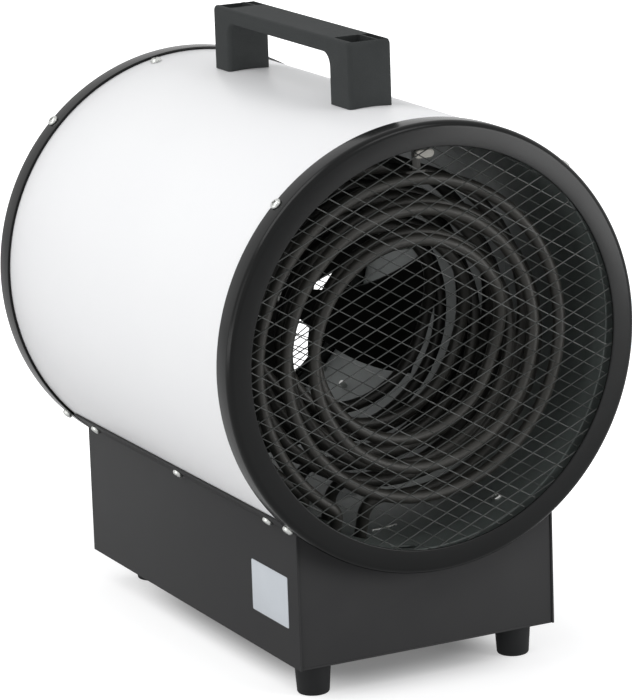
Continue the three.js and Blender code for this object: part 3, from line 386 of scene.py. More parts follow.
def rounded(corners, radii, steps=4):
    """A closed outline of 2D corners with each corner rounded by its radius."""
    count = len(corners)
    out = []
    for i, corner in enumerate(corners):
        radius = radii if isinstance(radii, (int, float)) else radii[i]
        here = np.array(corner, float)
        before = np.array(corners[i - 1], float) - here
        after = np.array(corners[(i + 1) % count], float) - here
        if radius <= 0:
            out.append(tuple(here))
            continue
        a = before / np.linalg.norm(before)
        b = after / np.linalg.norm(after)
        angle = math.acos(max(-1, min(1, float(a @ b))))
        reach = radius / math.tan(angle / 2)
        reach = min(reach, MOST_OF_SIDE * min(np.linalg.norm(before), np.linalg.norm(after)))
        radius = reach * math.tan(angle / 2)
        middle = here + (a + b) / np.linalg.norm(a + b) * radius / math.sin(angle / 2)
        start = here + a * reach - middle
        end = here + b * reach - middle
        turn = math.copysign(math.pi - angle, start[0] * end[1] - start[1] * end[0])
        for k in range(steps + 1):
            t = turn * k / steps
            out.append((middle[0] + start[0] * math.cos(t) - start[1] * math.sin(t),
                        middle[1] + start[0] * math.sin(t) + start[1] * math.cos(t)))
    return out


def lathe(name, profile, segments, centre=(0, 0), smooth_angle=SMOOTH_ANGLE):
    """A solid of revolution about Y from a closed loop of (radius, y), round the point (x, z)."""
    points = []
    rings = []
    for radius, y in profile:
        if radius < ON_AXIS:
            rings.append([len(points)] * segments)
            points.append((centre[0], y, centre[1]))
            continue
        rings.append(list(range(len(points), len(points) + segments)))
        points += [(centre[0] - radius * math.sin(a), y, centre[1] + radius * math.cos(a))
                   for a in circle_angles(segments)]
    faces = []
    for i, ring in enumerate(rings):
        after = rings[(i + 1) % len(rings)]
        if ring[0] == ring[1] and after[0] == after[1]:
            continue
        for k in range(segments):
            n = (k + 1) % segments
            face = [ring[k], ring[n], after[n], after[k]]
            if ring[0] == ring[1]:
                face = [ring[k], after[n], after[k]]
            elif after[0] == after[1]:
                face = [ring[k], ring[n], after[k]]
            faces.append(face)
    return mesh_object(name, points, faces, smooth_angle)


def prism_faces(count, start=0):
    """The faces between two outlines of count points that follow each other, from start on."""
    sides = [(start + k, start + (k + 1) % count, start + count + (k + 1) % count, start + count + k)
             for k in range(count)]
    return [tuple(range(start, start + count)),
            tuple(range(start + 2 * count - 1, start + count - 1, -1))] + sides


def extruded(name, outline, low, high, axis):
    """A flat outline extruded along an axis: it is (y, z) for "x", (x, z) for "y", (x, y) for "z"."""
    def at(point, depth):
        a, b = point
        return {"x": (depth, a, b), "y": (a, depth, b), "z": (a, b, depth)}[axis]
    points = [at(p, low) for p in outline] + [at(p, high) for p in outline]
    return mesh_object(name, points, prism_faces(len(outline)))


def rod(start, end, radius, segments=32):
    """A plain round bar between two points, to cut with."""
    start, end = np.array(start, float), np.array(end, float)
    along = (end - start) / np.linalg.norm(end - start)
    side = np.cross(along, (0, 0, 1) if abs(along[2]) < 0.9 else (1, 0, 0))
    side /= np.linalg.norm(side)
    other = np.cross(along, side)
    points = [centre + radius * (math.cos(a) * side + math.sin(a) * other)
              for centre in (start, end) for a in circle_angles(segments)]
    return mesh_object("tool", points, prism_faces(segments))


def swept_tube(name, path, radius, sides):
    """A closed round tube along a list of points; radius may be one value or one for each point."""
    path = np.array(path, float)
    radii = np.broadcast_to(radius, len(path))
    points, faces = [], []
    side = np.array((0.0, 1.0, 0.0))
    for i, point in enumerate(path):
        along = path[min(i + 1, len(path) - 1)] - path[max(i - 1, 0)]
        along /= np.linalg.norm(along)
        side = side - along * (side @ along)
        side /= np.linalg.norm(side)
        other = np.cross(along, side)
        points += [point + radii[i] * (math.cos(a) * side + math.sin(a) * other)
                   for a in circle_angles(sides)]
    for i in range(len(path) - 1):
        for k in range(sides):
            a, b = i * sides + k, i * sides + (k + 1) % sides
            faces.append((a, b, b + sides, a + sides))
    faces.append(tuple(range(sides)))
    faces.append(tuple(range(len(points) - 1, len(points) - 1 - sides, -1)))
    return mesh_object(name, points, faces, TUBE_SMOOTH_ANGLE)


def joined(name, pieces, smooth_angle=SMOOTH_ANGLE):
    """Several pieces as one mesh."""
    points, faces = [], []
    for piece in pieces:
        start = len(points)
        points += [tuple(part_millimetres(v.co)) for v in piece.data.vertices]
        faces += [tuple(start + v for v in p.vertices) for p in piece.data.polygons]
        bpy.data.objects.remove(piece)
    return mesh_object(name, points, faces, smooth_angle)


def outwards(angle):
    """The direction away from the drum axis at an angle."""
    a = math.radians(angle)
    return np.array((-math.sin(a), 0.0, math.cos(a)))


def on_drum(radius, angle, y):
    return outwards(angle) * radius + (0, y, 0)


# ---- Drum, end rings and sleeve ----

DRUM_INNER = DRUM_RADIUS - DRUM_WALL
DRUM_SEAT = DRUM_RADIUS + CLEARANCE  # radius of what lies on the drum
DRUM_MOUTH_END = SLEEVE_FRONT + SLEEVE_WALL
FACE_TOLERANCE = 0.1
RING_SMOOTH_ANGLE = 50
LEAD_HOLE_RADIUS = TUBE_RADIUS + 1.6
LEAD_HOLE_OVERRUN = 0.2  # past the lead's end, as a share of the lead
SLEEVE_ROUNDING = (1.0, 0.2, 0.2, 0.4, 0.4, 0.2, 0.2, 1.0)
SLEEVE_SLOT = rectangle(-24.5, 21.5, -6.5, 28.5)
SLEEVE_SLOT_CORNER = 3.4
SLEEVE_SLOT_REACH = 10
SLEEVE_PIN = [(-17, 67, -135.4), (-10, 69, -136), (-3, 71, -136.2), (5, 73, -136.2)]
SLEEVE_PIN_RADII = (0.7, 1.0, 1.0, 0.7)


def lead_tools():
    """Rods along the elements' straight leads, to cut their holes with."""
    path = element_path(step=6, bend_steps=6)
    tools = []
    for y in ELEMENT_YS:
        for upper, lower in ((path[1], path[0]), (path[-2], path[-1])):
            past = lower + (lower - upper) * LEAD_HOLE_OVERRUN
            tools.append(rod(upper + (0, y, 0), past + (0, y, 0), LEAD_HOLE_RADIUS, segments=20))
    return tools


def add_drum():
    """The rolled sheet, with a duller finish inside, and painted shade on the inner wall in front of the
    sleeve, where that strip of wall lies in the mouth's shadow.
    """
    rear = BODY_LENGTH - DRUM_INSET
    corners = [(DRUM_INNER, DRUM_INSET), (DRUM_RADIUS, DRUM_INSET), (DRUM_RADIUS, rear),
               (DRUM_INNER, rear), (DRUM_INNER, DRUM_MOUTH_END)]
    drum = lathe("drum", rounded(corners, [DRUM_EDGE] * 4 + [0], steps=2), BIG_ROUND)
    combine(drum, lead_tools())
    dress(drum, "drum_paint", "drum_shell")
    finishes = drum.data.materials
    for slot in ("drum_inside", "drum_mouth_painted_shade"):
        finishes.append(MATERIALS[slot])
    # Inner-wall faces in front of the sleeve take the dark mouth look, which is painted shade; the rest
    # of the inner wall takes drum_inside.
    for face in drum.data.polygons:
        x, y, z = part_millimetres(face.center)
        if math.hypot(x, z) < DRUM_INNER + FACE_TOLERANCE:
            face.material_index = finishes.find("drum_mouth_painted_shade" if y < DRUM_MOUTH_END else "drum_inside")


def add_rings():
    corners = [(RING_OPENING, 0), (RING_RADIUS, 0), (RING_RADIUS, RING_BAND), (DRUM_SEAT, RING_BAND),
               (DRUM_SEAT, 2 * RING_WALL), (DRUM_SEAT - RING_WALL, RING_WALL),
               (RING_OPENING, RING_WALL)]
    front = rounded(corners, RING_ROUNDING, steps=7)
    rear = [(radius, BODY_LENGTH - y) for radius, y in front]
    for end, profile in (("front", front), ("rear", rear)):
        ring = lathe(f"{end}_end_ring", profile, BIG_ROUND, smooth_angle=RING_SMOOTH_ANGLE)
        dress(ring, "black_paint", f"{end}_ring")


def add_sleeve():
    """The flanged sleeve round the elements, with a slot low at its front, and a pin in it."""
    flange = DRUM_INNER - CLEARANCE
    inner = SLEEVE_RADIUS - SLEEVE_WALL
    front, rear = SLEEVE_FRONT + SLEEVE_WALL, SLEEVE_REAR - SLEEVE_WALL
    corners = [(inner, SLEEVE_FRONT), (flange, SLEEVE_FRONT), (flange, front), (SLEEVE_RADIUS, front),
               (SLEEVE_RADIUS, rear), (flange, rear), (flange, SLEEVE_REAR), (inner, SLEEVE_REAR)]
    sleeve = lathe("air_sleeve", rounded(corners, SLEEVE_ROUNDING), BIG_ROUND)
    slot = extruded("tool", rounded(SLEEVE_SLOT, SLEEVE_SLOT_CORNER, steps=6),
                    -SLEEVE_RADIUS - SLEEVE_SLOT_REACH, -SLEEVE_RADIUS + SLEEVE_SLOT_REACH, "z")
    combine(sleeve, [slot] + lead_tools())
    dress(sleeve, "sleeve_steel", "inner_sleeve")
    dress(swept_tube("sleeve_pin", SLEEVE_PIN, SLEEVE_PIN_RADII, sides=12), "zinc_steel")


# ---- Mesh at each end ----

MESH_PITCH = 8.61
MESH_OFFSETS = (0.5, 2.7)
WIRE_ANGLES = (24.7, -31.4)
WIRE_RADIUS = 0.42
WIRE_SIDES = 6
WIRE_REACH = 142
WIRE_SINK = 0.12  # how far the second layer's wires sink into the first's
WIRE_SMOOTH_ANGLE = 60
SHORTEST_INSET = 1  # no wire lies closer to the reach than this
RIM_INNER = 138
RIM_OUTER = 146
RIM_REAR = 3.2
RIM_EDGE = 0.2


def add_mesh(name, node, at_rear):
    """The true net: round wires laid both ways, one layer on the other, held by a flat rim."""
    rim = lathe("rim", rounded(rectangle(RIM_INNER, RING_WALL, RIM_OUTER, RIM_REAR), RIM_EDGE, steps=2),
                WIDE_ROUND)
    count = int(WIRE_REACH / MESH_PITCH)
    points, faces = [], []
    for layer, (angle, offset) in enumerate(zip(WIRE_ANGLES, MESH_OFFSETS)):
        y = RING_WALL + WIRE_RADIUS + layer * (2 * WIRE_RADIUS - WIRE_SINK)
        rise = math.radians(angle)
        along = np.array((math.cos(rise), 0, math.sin(rise)))
        across = np.array((-math.sin(rise), 0, math.cos(rise)))
        for i in range(-count - 1, count + 2):
            distance = i * MESH_PITCH + offset
            if abs(distance) >= WIRE_REACH - SHORTEST_INSET:
                continue
            half = math.sqrt(WIRE_REACH ** 2 - distance ** 2)
            faces += prism_faces(WIRE_SIDES, len(points))
            for end in (-half, half):
                for turn in circle_angles(WIRE_SIDES):
                    centre = along * end + across * (distance + WIRE_RADIUS * math.sin(turn))
                    points.append(centre + (0, y + WIRE_RADIUS * math.cos(turn), 0))
    net = joined(name, [rim, mesh_object("net", points, faces)], WIRE_SMOOTH_ANGLE)
    if at_rear:
        for vertex in net.data.vertices:
            vertex.co.x *= -1
            vertex.co.y *= -1
    dress(net, "mesh_paint", node)


# ---- Heating elements ----

ELEMENT_YS = (25.6, 73.6, 121.6)
TUBE_PLAY = 0.02
TUBE_SIDES = 18
SPIRAL_CENTRE_Z = -2.9
SPIRAL_RADIUS_AT_TOP = 71.5
SPIRAL_PITCH = 20.1
SPIRAL_INNER_ANGLE = -50
SPIRAL_OUTER_ANGLE = 865
RETURN_SWEEP = 860
RETURN_DWELL = 180
RETURN_INSET = 3
LAYER_GAP = 16
LAYER_CHANGE = 60
LEAD_BEND = 13
LEAD_END_Z = -163
LEAD_TILT = math.radians(20)
LEAD_WAY = np.array((0.0, math.sin(LEAD_TILT), -math.cos(LEAD_TILT)))


def spiral_point(radius, angle, y):
    a = math.radians(angle)
    return np.array((-radius * math.sin(a), y, SPIRAL_CENTRE_Z + radius * math.cos(a)))


def spiral_radius(angle):
    return SPIRAL_RADIUS_AT_TOP + SPIRAL_PITCH * angle / 360


def winding_points(step):
    """The front spiral inwards and then the return spiral outwards, a layer behind it."""
    points = []
    count = round((SPIRAL_OUTER_ANGLE - SPIRAL_INNER_ANGLE) / step)
    for i in range(count + 1):
        angle = SPIRAL_OUTER_ANGLE + (SPIRAL_INNER_ANGLE - SPIRAL_OUTER_ANGLE) * i / count
        points.append(spiral_point(spiral_radius(angle), angle, 0))
    count = round(RETURN_SWEEP / step)
    for i in range(1, count + 1):
        swept = RETURN_SWEEP * i / count
        t = min(1, swept / LAYER_CHANGE)
        eased = t * t * (3 - 2 * t)
        growth = SPIRAL_PITCH * max(0, swept - RETURN_DWELL) / 360
        radius = spiral_radius(SPIRAL_INNER_ANGLE) - RETURN_INSET * eased + growth
        points.append(spiral_point(radius, SPIRAL_INNER_ANGLE - swept, LAYER_GAP * eased))
    return points


def lead_bend(end, away, steps):
    """A rounded corner from the end of the winding into a straight lead."""
    turn = math.acos(float(away @ LEAD_WAY))
    corner = end + away * LEAD_BEND * math.tan(turn / 2)
    towards = LEAD_WAY - away
    towards /= np.linalg.norm(towards)
    centre = corner + towards * LEAD_BEND / math.cos(turn / 2)
    axis = np.cross(away, LEAD_WAY)
    axis /= np.linalg.norm(axis)
    first = end - centre
    points = []
    for i in range(1, steps + 1):
        turned = Matrix.Rotation(turn * i / steps, 3, Vector(axis)) @ Vector(first)
        points.append(centre + np.array(turned))
    return points


def winding_way(angle, way):
    """The direction along the winding at an angle: with rising angles for 1, back for -1."""
    a = math.radians(angle)
    return np.array((-way * math.cos(a), 0, -way * math.sin(a)))


def element_path(step, bend_steps):
    """The tube's middle line, with a point every so many degrees of the winding."""
    winding = winding_points(step)
    into = lead_bend(winding[0], winding_way(SPIRAL_OUTER_ANGLE, 1), bend_steps)
    out = lead_bend(winding[-1], winding_way(SPIRAL_INNER_ANGLE - RETURN_SWEEP, -1), bend_steps)

    def end_of(point):
        return point + LEAD_WAY * (LEAD_END_Z - point[2]) / LEAD_WAY[2]

    return [end_of(into[-1])] + into[::-1] + winding + out + [end_of(out[-1])]


def add_elements():
    for name, y in zip(("front", "middle", "rear"), ELEMENT_YS):
        path = [p + (0, y, 0) for p in element_path(step=5, bend_steps=10)]
        tube = swept_tube(f"tube_element_{name}", path, TUBE_RADIUS - TUBE_PLAY, TUBE_SIDES)
        dress(tube, "element_sheath", f"heating_element_{name}")


# ---- Base, feet and label ----

SHEET_BEND = 0.35
SHEET_EDGE = 0.3
SHEET_EDGE_ANGLE = 40
PANEL_CUT_REACH = 6
CONTROL_Z = -178
DIAL_XS = {"mode": 48, "thermostat": -6}
SPINDLE_HOLE_RADIUS = 3.3
GLAND_X, GLAND_Z = -58, -180
GLAND_HOLE_RADIUS = 10.3
LABEL = rectangle(36, -182, 89, -147)  # (y, z)
LABEL_CORNER = 1.2
LABEL_THICKNESS = 0.4
FOOT_PLACES = {"front_left": (-76, 44), "front_right": (76, 44),
               "rear_left": (-58, 337), "rear_right": (58, 337)}
FOOT_HEIGHT = 23.3
FOOT_TOP_RADIUS = 12.4
FOOT_BOTTOM_RADIUS = 10.8
FOOT_HOLLOW_RADIUS = 4.2
FOOT_HOLLOW_DEPTH = 5
FOOT_ROUNDING = (0, 0.3, 0.8, 1.6, 0.5, 0)


def arc(radius, start, end, steps):
    """Points (x, z) on a circle about the drum axis."""
    angles = [math.radians(start + (end - start) * i / steps) for i in range(steps + 1)]
    return [(-radius * math.sin(a), radius * math.cos(a)) for a in angles]


def add_side_panel(name, side):
    """One bent sheet: upright from the floor plate, then laid against the drum as a flange."""
    outer_radius = DRUM_SEAT + BASE_WALL
    outer_turn = 180 - math.degrees(math.asin(BASE_HALF / outer_radius))
    inner_turn = 180 - math.degrees(math.asin((BASE_HALF - BASE_WALL) / DRUM_SEAT))
    outline = [(-BASE_HALF, BASE_BOTTOM), (-BASE_HALF + BASE_WALL, BASE_BOTTOM)]
    outline += arc(DRUM_SEAT, inner_turn, FLANGE_END, steps=12)
    outline += arc(outer_radius, FLANGE_END, outer_turn, steps=12)
    outline = [(x * side, z) for x, z in outline]
    panel = extruded(f"side_panel_{name}", outline, BASE_FRONT, BASE_REAR, "y")
    dress(bevelled(panel, SHEET_BEND, angle=SHEET_EDGE_ANGLE), "base_paint", f"base_side_{name}")


def end_plate(name, half, y):
    """A plate across the base from y on: square below, cut to the drum above."""
    turn = math.degrees(math.asin(half / DRUM_SEAT))
    floor = BASE_BOTTOM + BASE_WALL
    top = arc(DRUM_SEAT, 180 - turn, 180 + turn, steps=48)
    outline = [(-half, floor)] + top + [(half, floor)]
    return bevelled(extruded(name, outline, y, y + BASE_WALL, "y"), SHEET_EDGE, angle=SHEET_EDGE_ANGLE)


def add_base():
    add_side_panel("left", 1)
    add_side_panel("right", -1)
    half = BASE_HALF - BASE_WALL
    plate = extruded("floor_plate", rectangle(-half, BASE_FRONT + PANEL_INSET, half, REAR_PANEL_Y),
                     BASE_BOTTOM, BASE_BOTTOM + BASE_WALL, "z")
    dress(bevelled(plate, SHEET_EDGE), "base_paint", "base_bottom_plate")
    dress(end_plate("front_panel", half, BASE_FRONT + PANEL_INSET), "base_paint", "base_front_panel")
    rear = end_plate("rear_panel", half, REAR_PANEL_Y - BASE_WALL)
    holes = [(x, CONTROL_Z, SPINDLE_HOLE_RADIUS) for x in DIAL_XS.values()]
    holes.append((GLAND_X, GLAND_Z, GLAND_HOLE_RADIUS))
    tools = [rod((x, REAR_PANEL_Y - PANEL_CUT_REACH, z), (x, REAR_PANEL_Y + PANEL_CUT_REACH, z), radius)
             for x, z, radius in holes]
    dress(combine(rear, tools), "base_paint", "base_rear_panel")
    label = extruded("blank_label", rounded(LABEL, LABEL_CORNER), -BASE_HALF - LABEL_THICKNESS,
                     -BASE_HALF, "x")
    dress(bevelled(label, 0.12, angle=60), "label_film", "rating_label")


def lathe_upright(name, profile, centre):
    """A solid of revolution about Z from a closed loop of (radius, z), round the point (x, y)."""
    turned = lathe(name, profile, SMALL_ROUND)
    for vertex in turned.data.vertices:
        x, y, z = part_millimetres(vertex.co)
        vertex.co = Vector(row_metres((centre[0] + x, centre[1] - z, y)))
    return turned


def add_feet():
    top, bottom = BASE_BOTTOM, BASE_BOTTOM - FOOT_HEIGHT
    hollow = bottom + FOOT_HOLLOW_DEPTH
    profile = rounded([(0, hollow), (FOOT_HOLLOW_RADIUS, hollow), (FOOT_HOLLOW_RADIUS, bottom),
                       (FOOT_BOTTOM_RADIUS, bottom), (FOOT_TOP_RADIUS, top), (0, top)],
                      FOOT_ROUNDING, steps=5)
    for name, place in FOOT_PLACES.items():
        dress(lathe_upright(f"rubber_foot_{name}", profile, place), "foot_rubber", f"foot_{name}")


# ---- Handle ----

HANDLE_SKIRT = 6  # how far the handle's blank reaches into the drum before it is cut
HANDLE_ROUNDING = (0, 0, 9, 9, 0, 0, 4, 4)
HANDLE_SMOOTH_ANGLE = 40
UPRIGHT_EDGE = 3.8
LEVEL_EDGE_SHARE = 0.4
WELL_SPANS = ((-12.6, 6.2), (7.6, 14.2))  # low and high x of the two wells in a leg
WELL_HALF_LENGTHS = (12.2, 9.9)
WELL_CORNER = 1.2
GRIP_SCREW_HOLE = 2.3
CUT_REACH = 5


def round_upright_edges(bar):
    """The bar's edges rounded: fully where they stand upright, and less where they run level."""
    mesh = bar.data
    weights = mesh.attributes.new("bevel_weight_edge", "FLOAT", "EDGE")
    for edge in mesh.edges:
        a, b = (mesh.vertices[v].co for v in edge.vertices)
        if abs(a.x - b.x) > SAME_POINT:
            continue
        upright = abs(a.z - b.z) / (a - b).length
        weights.data[edge.index].value = LEVEL_EDGE_SHARE + (1 - LEVEL_EDGE_SHARE) * upright
    modifier = bar.modifiers.new("bevel", "BEVEL")
    modifier.width = UPRIGHT_EDGE / METRE
    modifier.segments = 6
    modifier.limit_method = "WEIGHT"
    modifier.use_clamp_overlap = True
    bake_modifiers(bar)


def add_handle():
    inner_front = HANDLE_FRONT + HANDLE_FRONT_LEG
    inner_rear = HANDLE_REAR - HANDLE_REAR_LEG
    bottom = DRUM_RADIUS - HANDLE_SKIRT
    corners = [(HANDLE_FRONT, bottom), (inner_front, bottom), (inner_front, GRIP_UNDERSIDE),
               (inner_rear, GRIP_UNDERSIDE), (inner_rear, bottom), (HANDLE_REAR, bottom),
               (HANDLE_REAR, HANDLE_TOP), (HANDLE_FRONT, HANDLE_TOP)]
    bar = extruded("carry_handle", rounded(corners, HANDLE_ROUNDING, steps=8),
                   -HANDLE_WIDTH / 2, HANDLE_WIDTH / 2, "x")
    round_upright_edges(bar)
    space = rectangle(0, HANDLE_FRONT - CUT_REACH, DRUM_SEAT, HANDLE_REAR + CUT_REACH)
    tools = [lathe("tool", space, BIG_ROUND)]
    for y, half in zip(HANDLE_SCREW_YS, WELL_HALF_LENGTHS):
        for low, high in WELL_SPANS:
            well = rounded(rectangle(low, y - half, high, y + half), WELL_CORNER)
            tools.append(extruded("tool", well, WELL_FLOOR, HANDLE_TOP + CUT_REACH, "z"))
        tools.append(rod((0, y, DRUM_RADIUS - CUT_REACH), (0, y, WELL_FLOOR + 1), GRIP_SCREW_HOLE,
                         segments=24))
    combine(bar, tools, smooth_angle=HANDLE_SMOOTH_ANGLE)
    dress(bar, "handle_plastic", "handle")


# ---- Fan and motor ----

FAN_Y = 226
FAN_BLADES = 5
FIRST_BLADE_ANGLE = 12
BLADE_RADII = (22, 119)  # at the root and at the tip, as the two rows below
BLADE_CHORDS = (26, 88)
BLADE_PITCHES = (36, 17)
BLADE_SWEEP = 24
BLADE_CAMBER = 4
BLADE_THICKNESS = 1.6
BLADE_STATIONS, BLADE_COLUMNS = 18, 14
DISC_RADIUS = 26
DISC_THICKNESS = 2
HUB_RADIUS = 12
HUB_FRONT, HUB_REAR = 214, 240
SHAFT_RADIUS = 4
SHAFT_FRONT, SHAFT_REAR = 208, 278
SHAFT_BORE = SHAFT_RADIUS + CLEARANCE
MOTOR_RADIUS = 37
MOTOR_CHAMFER = 4
MOTOR_FRONT, MOTOR_REAR = 252, 321
MOTOR_BOSS_RADIUS = 16
MOTOR_BOSS_FRONT = 246
MOTOR_ROUNDING = (0.3, 0.8, 0.5, 1.5, 2, 2, 2, 0, 0, 0)
MOTOR_GROOVES = (268, 290)
GROOVE_FLOOR, GROOVE_WIDTH = 36.2, 2
CLAMP_INNER, CLAMP_OUTER = MOTOR_RADIUS + CLEARANCE, 41.3
CLAMP_FRONT, CLAMP_REAR = 300, 314
ARM_START = 39.5
ARM_PLAY = 0.7
ARM_HALF = 7
ARM_FRONT, ARM_REAR = 305.5, 308.5
STEEL_EDGE = 0.4


def blade(start_angle):
    """One swept, twisted and cambered blade, in fine steps."""
    stations, columns = BLADE_STATIONS, BLADE_COLUMNS
    points, faces = [], []
    for layer in (0, 1):
        for s in range(stations):
            share = s / (stations - 1)
            radius, chord, pitch = (root + (tip - root) * share
                                    for root, tip in (BLADE_RADII, BLADE_CHORDS, BLADE_PITCHES))
            pitch = math.radians(pitch)
            middle = math.radians(start_angle + BLADE_SWEEP * share)
            for c in range(columns):
                at = c / (columns - 1)
                along = chord * (at - 0.5)
                camber = BLADE_CAMBER * share * (1 - (2 * at - 1) ** 2)
                angle = middle + along * math.cos(pitch) / radius
                y = FAN_Y + along * math.sin(pitch) + camber + (layer - 0.5) * BLADE_THICKNESS
                points.append((-radius * math.sin(angle), y, radius * math.cos(angle)))

    def corner(layer, s, c):
        return (layer * stations + s) * columns + c

    for s in range(stations - 1):
        for c in range(columns - 1):
            for layer in (0, 1):
                faces.append((corner(layer, s, c), corner(layer, s + 1, c),
                              corner(layer, s + 1, c + 1), corner(layer, s, c + 1)))
        for c in (0, columns - 1):
            faces.append((corner(0, s, c), corner(1, s, c), corner(1, s + 1, c), corner(0, s + 1, c)))
    for c in range(columns - 1):
        for s in (0, stations - 1):
            faces.append((corner(0, s, c), corner(0, s, c + 1), corner(1, s, c + 1), corner(1, s, c)))
    return mesh_object("blade", points, faces)


def add_fan():
    disc = rounded(rectangle(HUB_RADIUS + CLEARANCE, FAN_Y - DISC_THICKNESS / 2, DISC_RADIUS,
                             FAN_Y + DISC_THICKNESS / 2), 0.3, steps=2)
    blades = [blade(FIRST_BLADE_ANGLE + 360 / FAN_BLADES * i) for i in range(FAN_BLADES)]
    wheel = joined("fan_blades", [lathe("disc", disc, SMALL_ROUND)] + blades)
    dress(wheel, "fan_paint", "fan_wheel", body="fan_rotor")
    hub = rounded(rectangle(SHAFT_BORE, HUB_FRONT, HUB_RADIUS, HUB_REAR), (0.3, 1.2, 1.2, 0.3),
                  steps=3)
    dress(lathe("hub_collar", hub, SMALL_ROUND), "zinc_steel", "fan_hub", body="fan_rotor")
    shaft = rounded(rectangle(0, SHAFT_FRONT, SHAFT_RADIUS, SHAFT_REAR), (0, 0.6, 0.6, 0), steps=3)
    dress(lathe("motor_shaft", shaft, segments=48), "sleeve_steel", "fan_shaft", body="fan_rotor")


def add_motor():
    """The motor with two grooves round it, and its four-armed mount."""
    shoulder = MOTOR_RADIUS - MOTOR_CHAMFER
    bore_end = SHAFT_REAR + CLEARANCE
    corners = [(SHAFT_BORE, MOTOR_BOSS_FRONT), (MOTOR_BOSS_RADIUS, MOTOR_BOSS_FRONT),
               (MOTOR_BOSS_RADIUS, MOTOR_FRONT), (shoulder, MOTOR_FRONT),
               (MOTOR_RADIUS, MOTOR_FRONT + MOTOR_CHAMFER), (MOTOR_RADIUS, MOTOR_REAR - MOTOR_CHAMFER),
               (shoulder, MOTOR_REAR), (0, MOTOR_REAR), (0, bore_end), (SHAFT_BORE, bore_end)]
    motor = lathe("fan_motor", rounded(corners, MOTOR_ROUNDING), MIDDLE_ROUND)
    past = MOTOR_RADIUS + 3
    combine(motor, [lathe("tool", rectangle(GROOVE_FLOOR, y, past, y + GROOVE_WIDTH), MIDDLE_ROUND)
                    for y in MOTOR_GROOVES])
    dress(motor, "motor_paint", "motor_body")
    clamp = rounded(rectangle(CLAMP_INNER, CLAMP_FRONT, CLAMP_OUTER, CLAMP_REAR), STEEL_EDGE, steps=2)
    parts = [lathe("clamp", clamp, MIDDLE_ROUND)]
    reach = math.sqrt((DRUM_INNER - ARM_PLAY) ** 2 - ARM_HALF ** 2)
    section = rounded(rectangle(ARM_START, -ARM_HALF, reach, ARM_HALF), STEEL_EDGE, steps=2)
    axis = Vector((0, 0, AXIS_HEIGHT / METRE))
    for way in range(4):
        arm = extruded("arm", section, ARM_FRONT, ARM_REAR, "y")
        turn = Matrix.Rotation(way * math.pi / 2, 3, "Y")
        for vertex in arm.data.vertices:
            vertex.co = turn @ (vertex.co - axis) + axis
        parts.append(arm)
    dress(joined("motor_mount", parts), "zinc_steel", "motor_bracket")


# ---- Strap over the elements ----

STRAP_FRONT, STRAP_REAR = 19.6, 127.6
STRAP_HALF = 8
STRAP_BOTTOM = 113.65
STRAP_THICKNESS = 1.6
STRAP_CORNER = 3
RIB_HALF = 1.8
RIB_INSET = 9
RIB_CORNER = 1.5
POST_INSETS = (1.2, 2.4)  # of each post's front face, from the strap's two ends
POST_HALF = 3
POST_FOOT_HALF = 7
POST_FOOT_Z, POST_TOP_Z = 136, 137
POST_THICKNESS = 1.2
POST_ROUNDING = (0, 0, 1.5, 0.3, 0.3, 0.3, 0.3, 1.5)
BEAD = rectangle(-2.2, 123, 11.7, 128.8)  # (x, z)
BEAD_CORNER = 2.85
BEAD_PROUD, BEAD_SUNK = 1.8, 1.1


def add_element_strap():
    front, rear, bottom = STRAP_FRONT, STRAP_REAR, STRAP_BOTTOM
    bar = rounded(rectangle(-STRAP_HALF, front, STRAP_HALF, rear), STRAP_CORNER, steps=5)
    rib = rounded(rectangle(-RIB_HALF, front + RIB_INSET, RIB_HALF, rear - RIB_INSET), RIB_CORNER)
    parts = [extruded("bar", bar, bottom, bottom + STRAP_THICKNESS, "z"),
             extruded("rib", rib, bottom + 1, bottom + 1 + STRAP_THICKNESS, "z")]
    half, foot = POST_HALF, POST_FOOT_HALF
    corners = [(-half, bottom + 1), (half, bottom + 1), (half, POST_FOOT_Z), (foot, POST_FOOT_Z),
               (foot, POST_TOP_Z), (-foot, POST_TOP_Z), (-foot, POST_FOOT_Z), (-half, POST_FOOT_Z)]
    for y in (front + POST_INSETS[0], rear - POST_INSETS[1]):
        post = rounded(corners, POST_ROUNDING, steps=3)
        parts.append(extruded("post", post, y, y + POST_THICKNESS, "y"))
    strap = joined("holding_strap", parts)
    dress(bevelled(strap, 0.2, angle=50), "element_sheath", "element_strap")
    bead = extruded("strap_bead", rounded(BEAD, BEAD_CORNER, steps=8), front - BEAD_PROUD,
                    front + BEAD_SUNK, "y")
    dress(bevelled(bead, 0.9, segments=4, angle=50), "ceramic")


# ---- Controls and cable gland ----

DIAL_STEPS = ((17, 0), (17, 3), (15.6, 4), (14.5, 18))  # radius, height above the panel
DIAL_DEPTH = 18
DIAL_BORE_DEPTH = 12
DIAL_ROUNDING = (0.3, 0.8, 0.8, 0.5, 1.8, 0, 0, 0)
FLUTES = 24
FLUTE_ENDS = ((16.5, 4.6), (15.5, 19))
FLUTE_RADIUS = 1.3
POINTER_HALF = 1.5
POINTER_REACH = (-11, 12.6)
POINTER_CORNER = 1.4
POINTER_SUNK, POINTER_PROUD = 1, 1.6
GLAND_BORE = 6.5
GLAND_THREAD = 10
GLAND_THREAD_LENGTH = 12
GLAND_STEPS = ((12, 0), (12, 5), (11.4, 5.4), (11.4, 8.6), (9.6, 13), (6.5, 13))
GLAND_ROUNDING = (0.3, 0.6, 0, 0.6, 0.3, 0.3, 1.5, 1.5, 0.5)
THREAD_GROOVES = (1, 2.6, 4.2)  # from the thread's inner end
GROOVE_HALF, GROOVE_DEPTH = 0.4, 0.6
CAP_SLOTS = 12
CAP_SLOT_ENDS = ((12.2, 5.6), (10.4, 13.6))
CAP_SLOT_RADIUS = 0.9
NUT_CORNER_RADIUS = 15
NUT_THICKNESS = 7


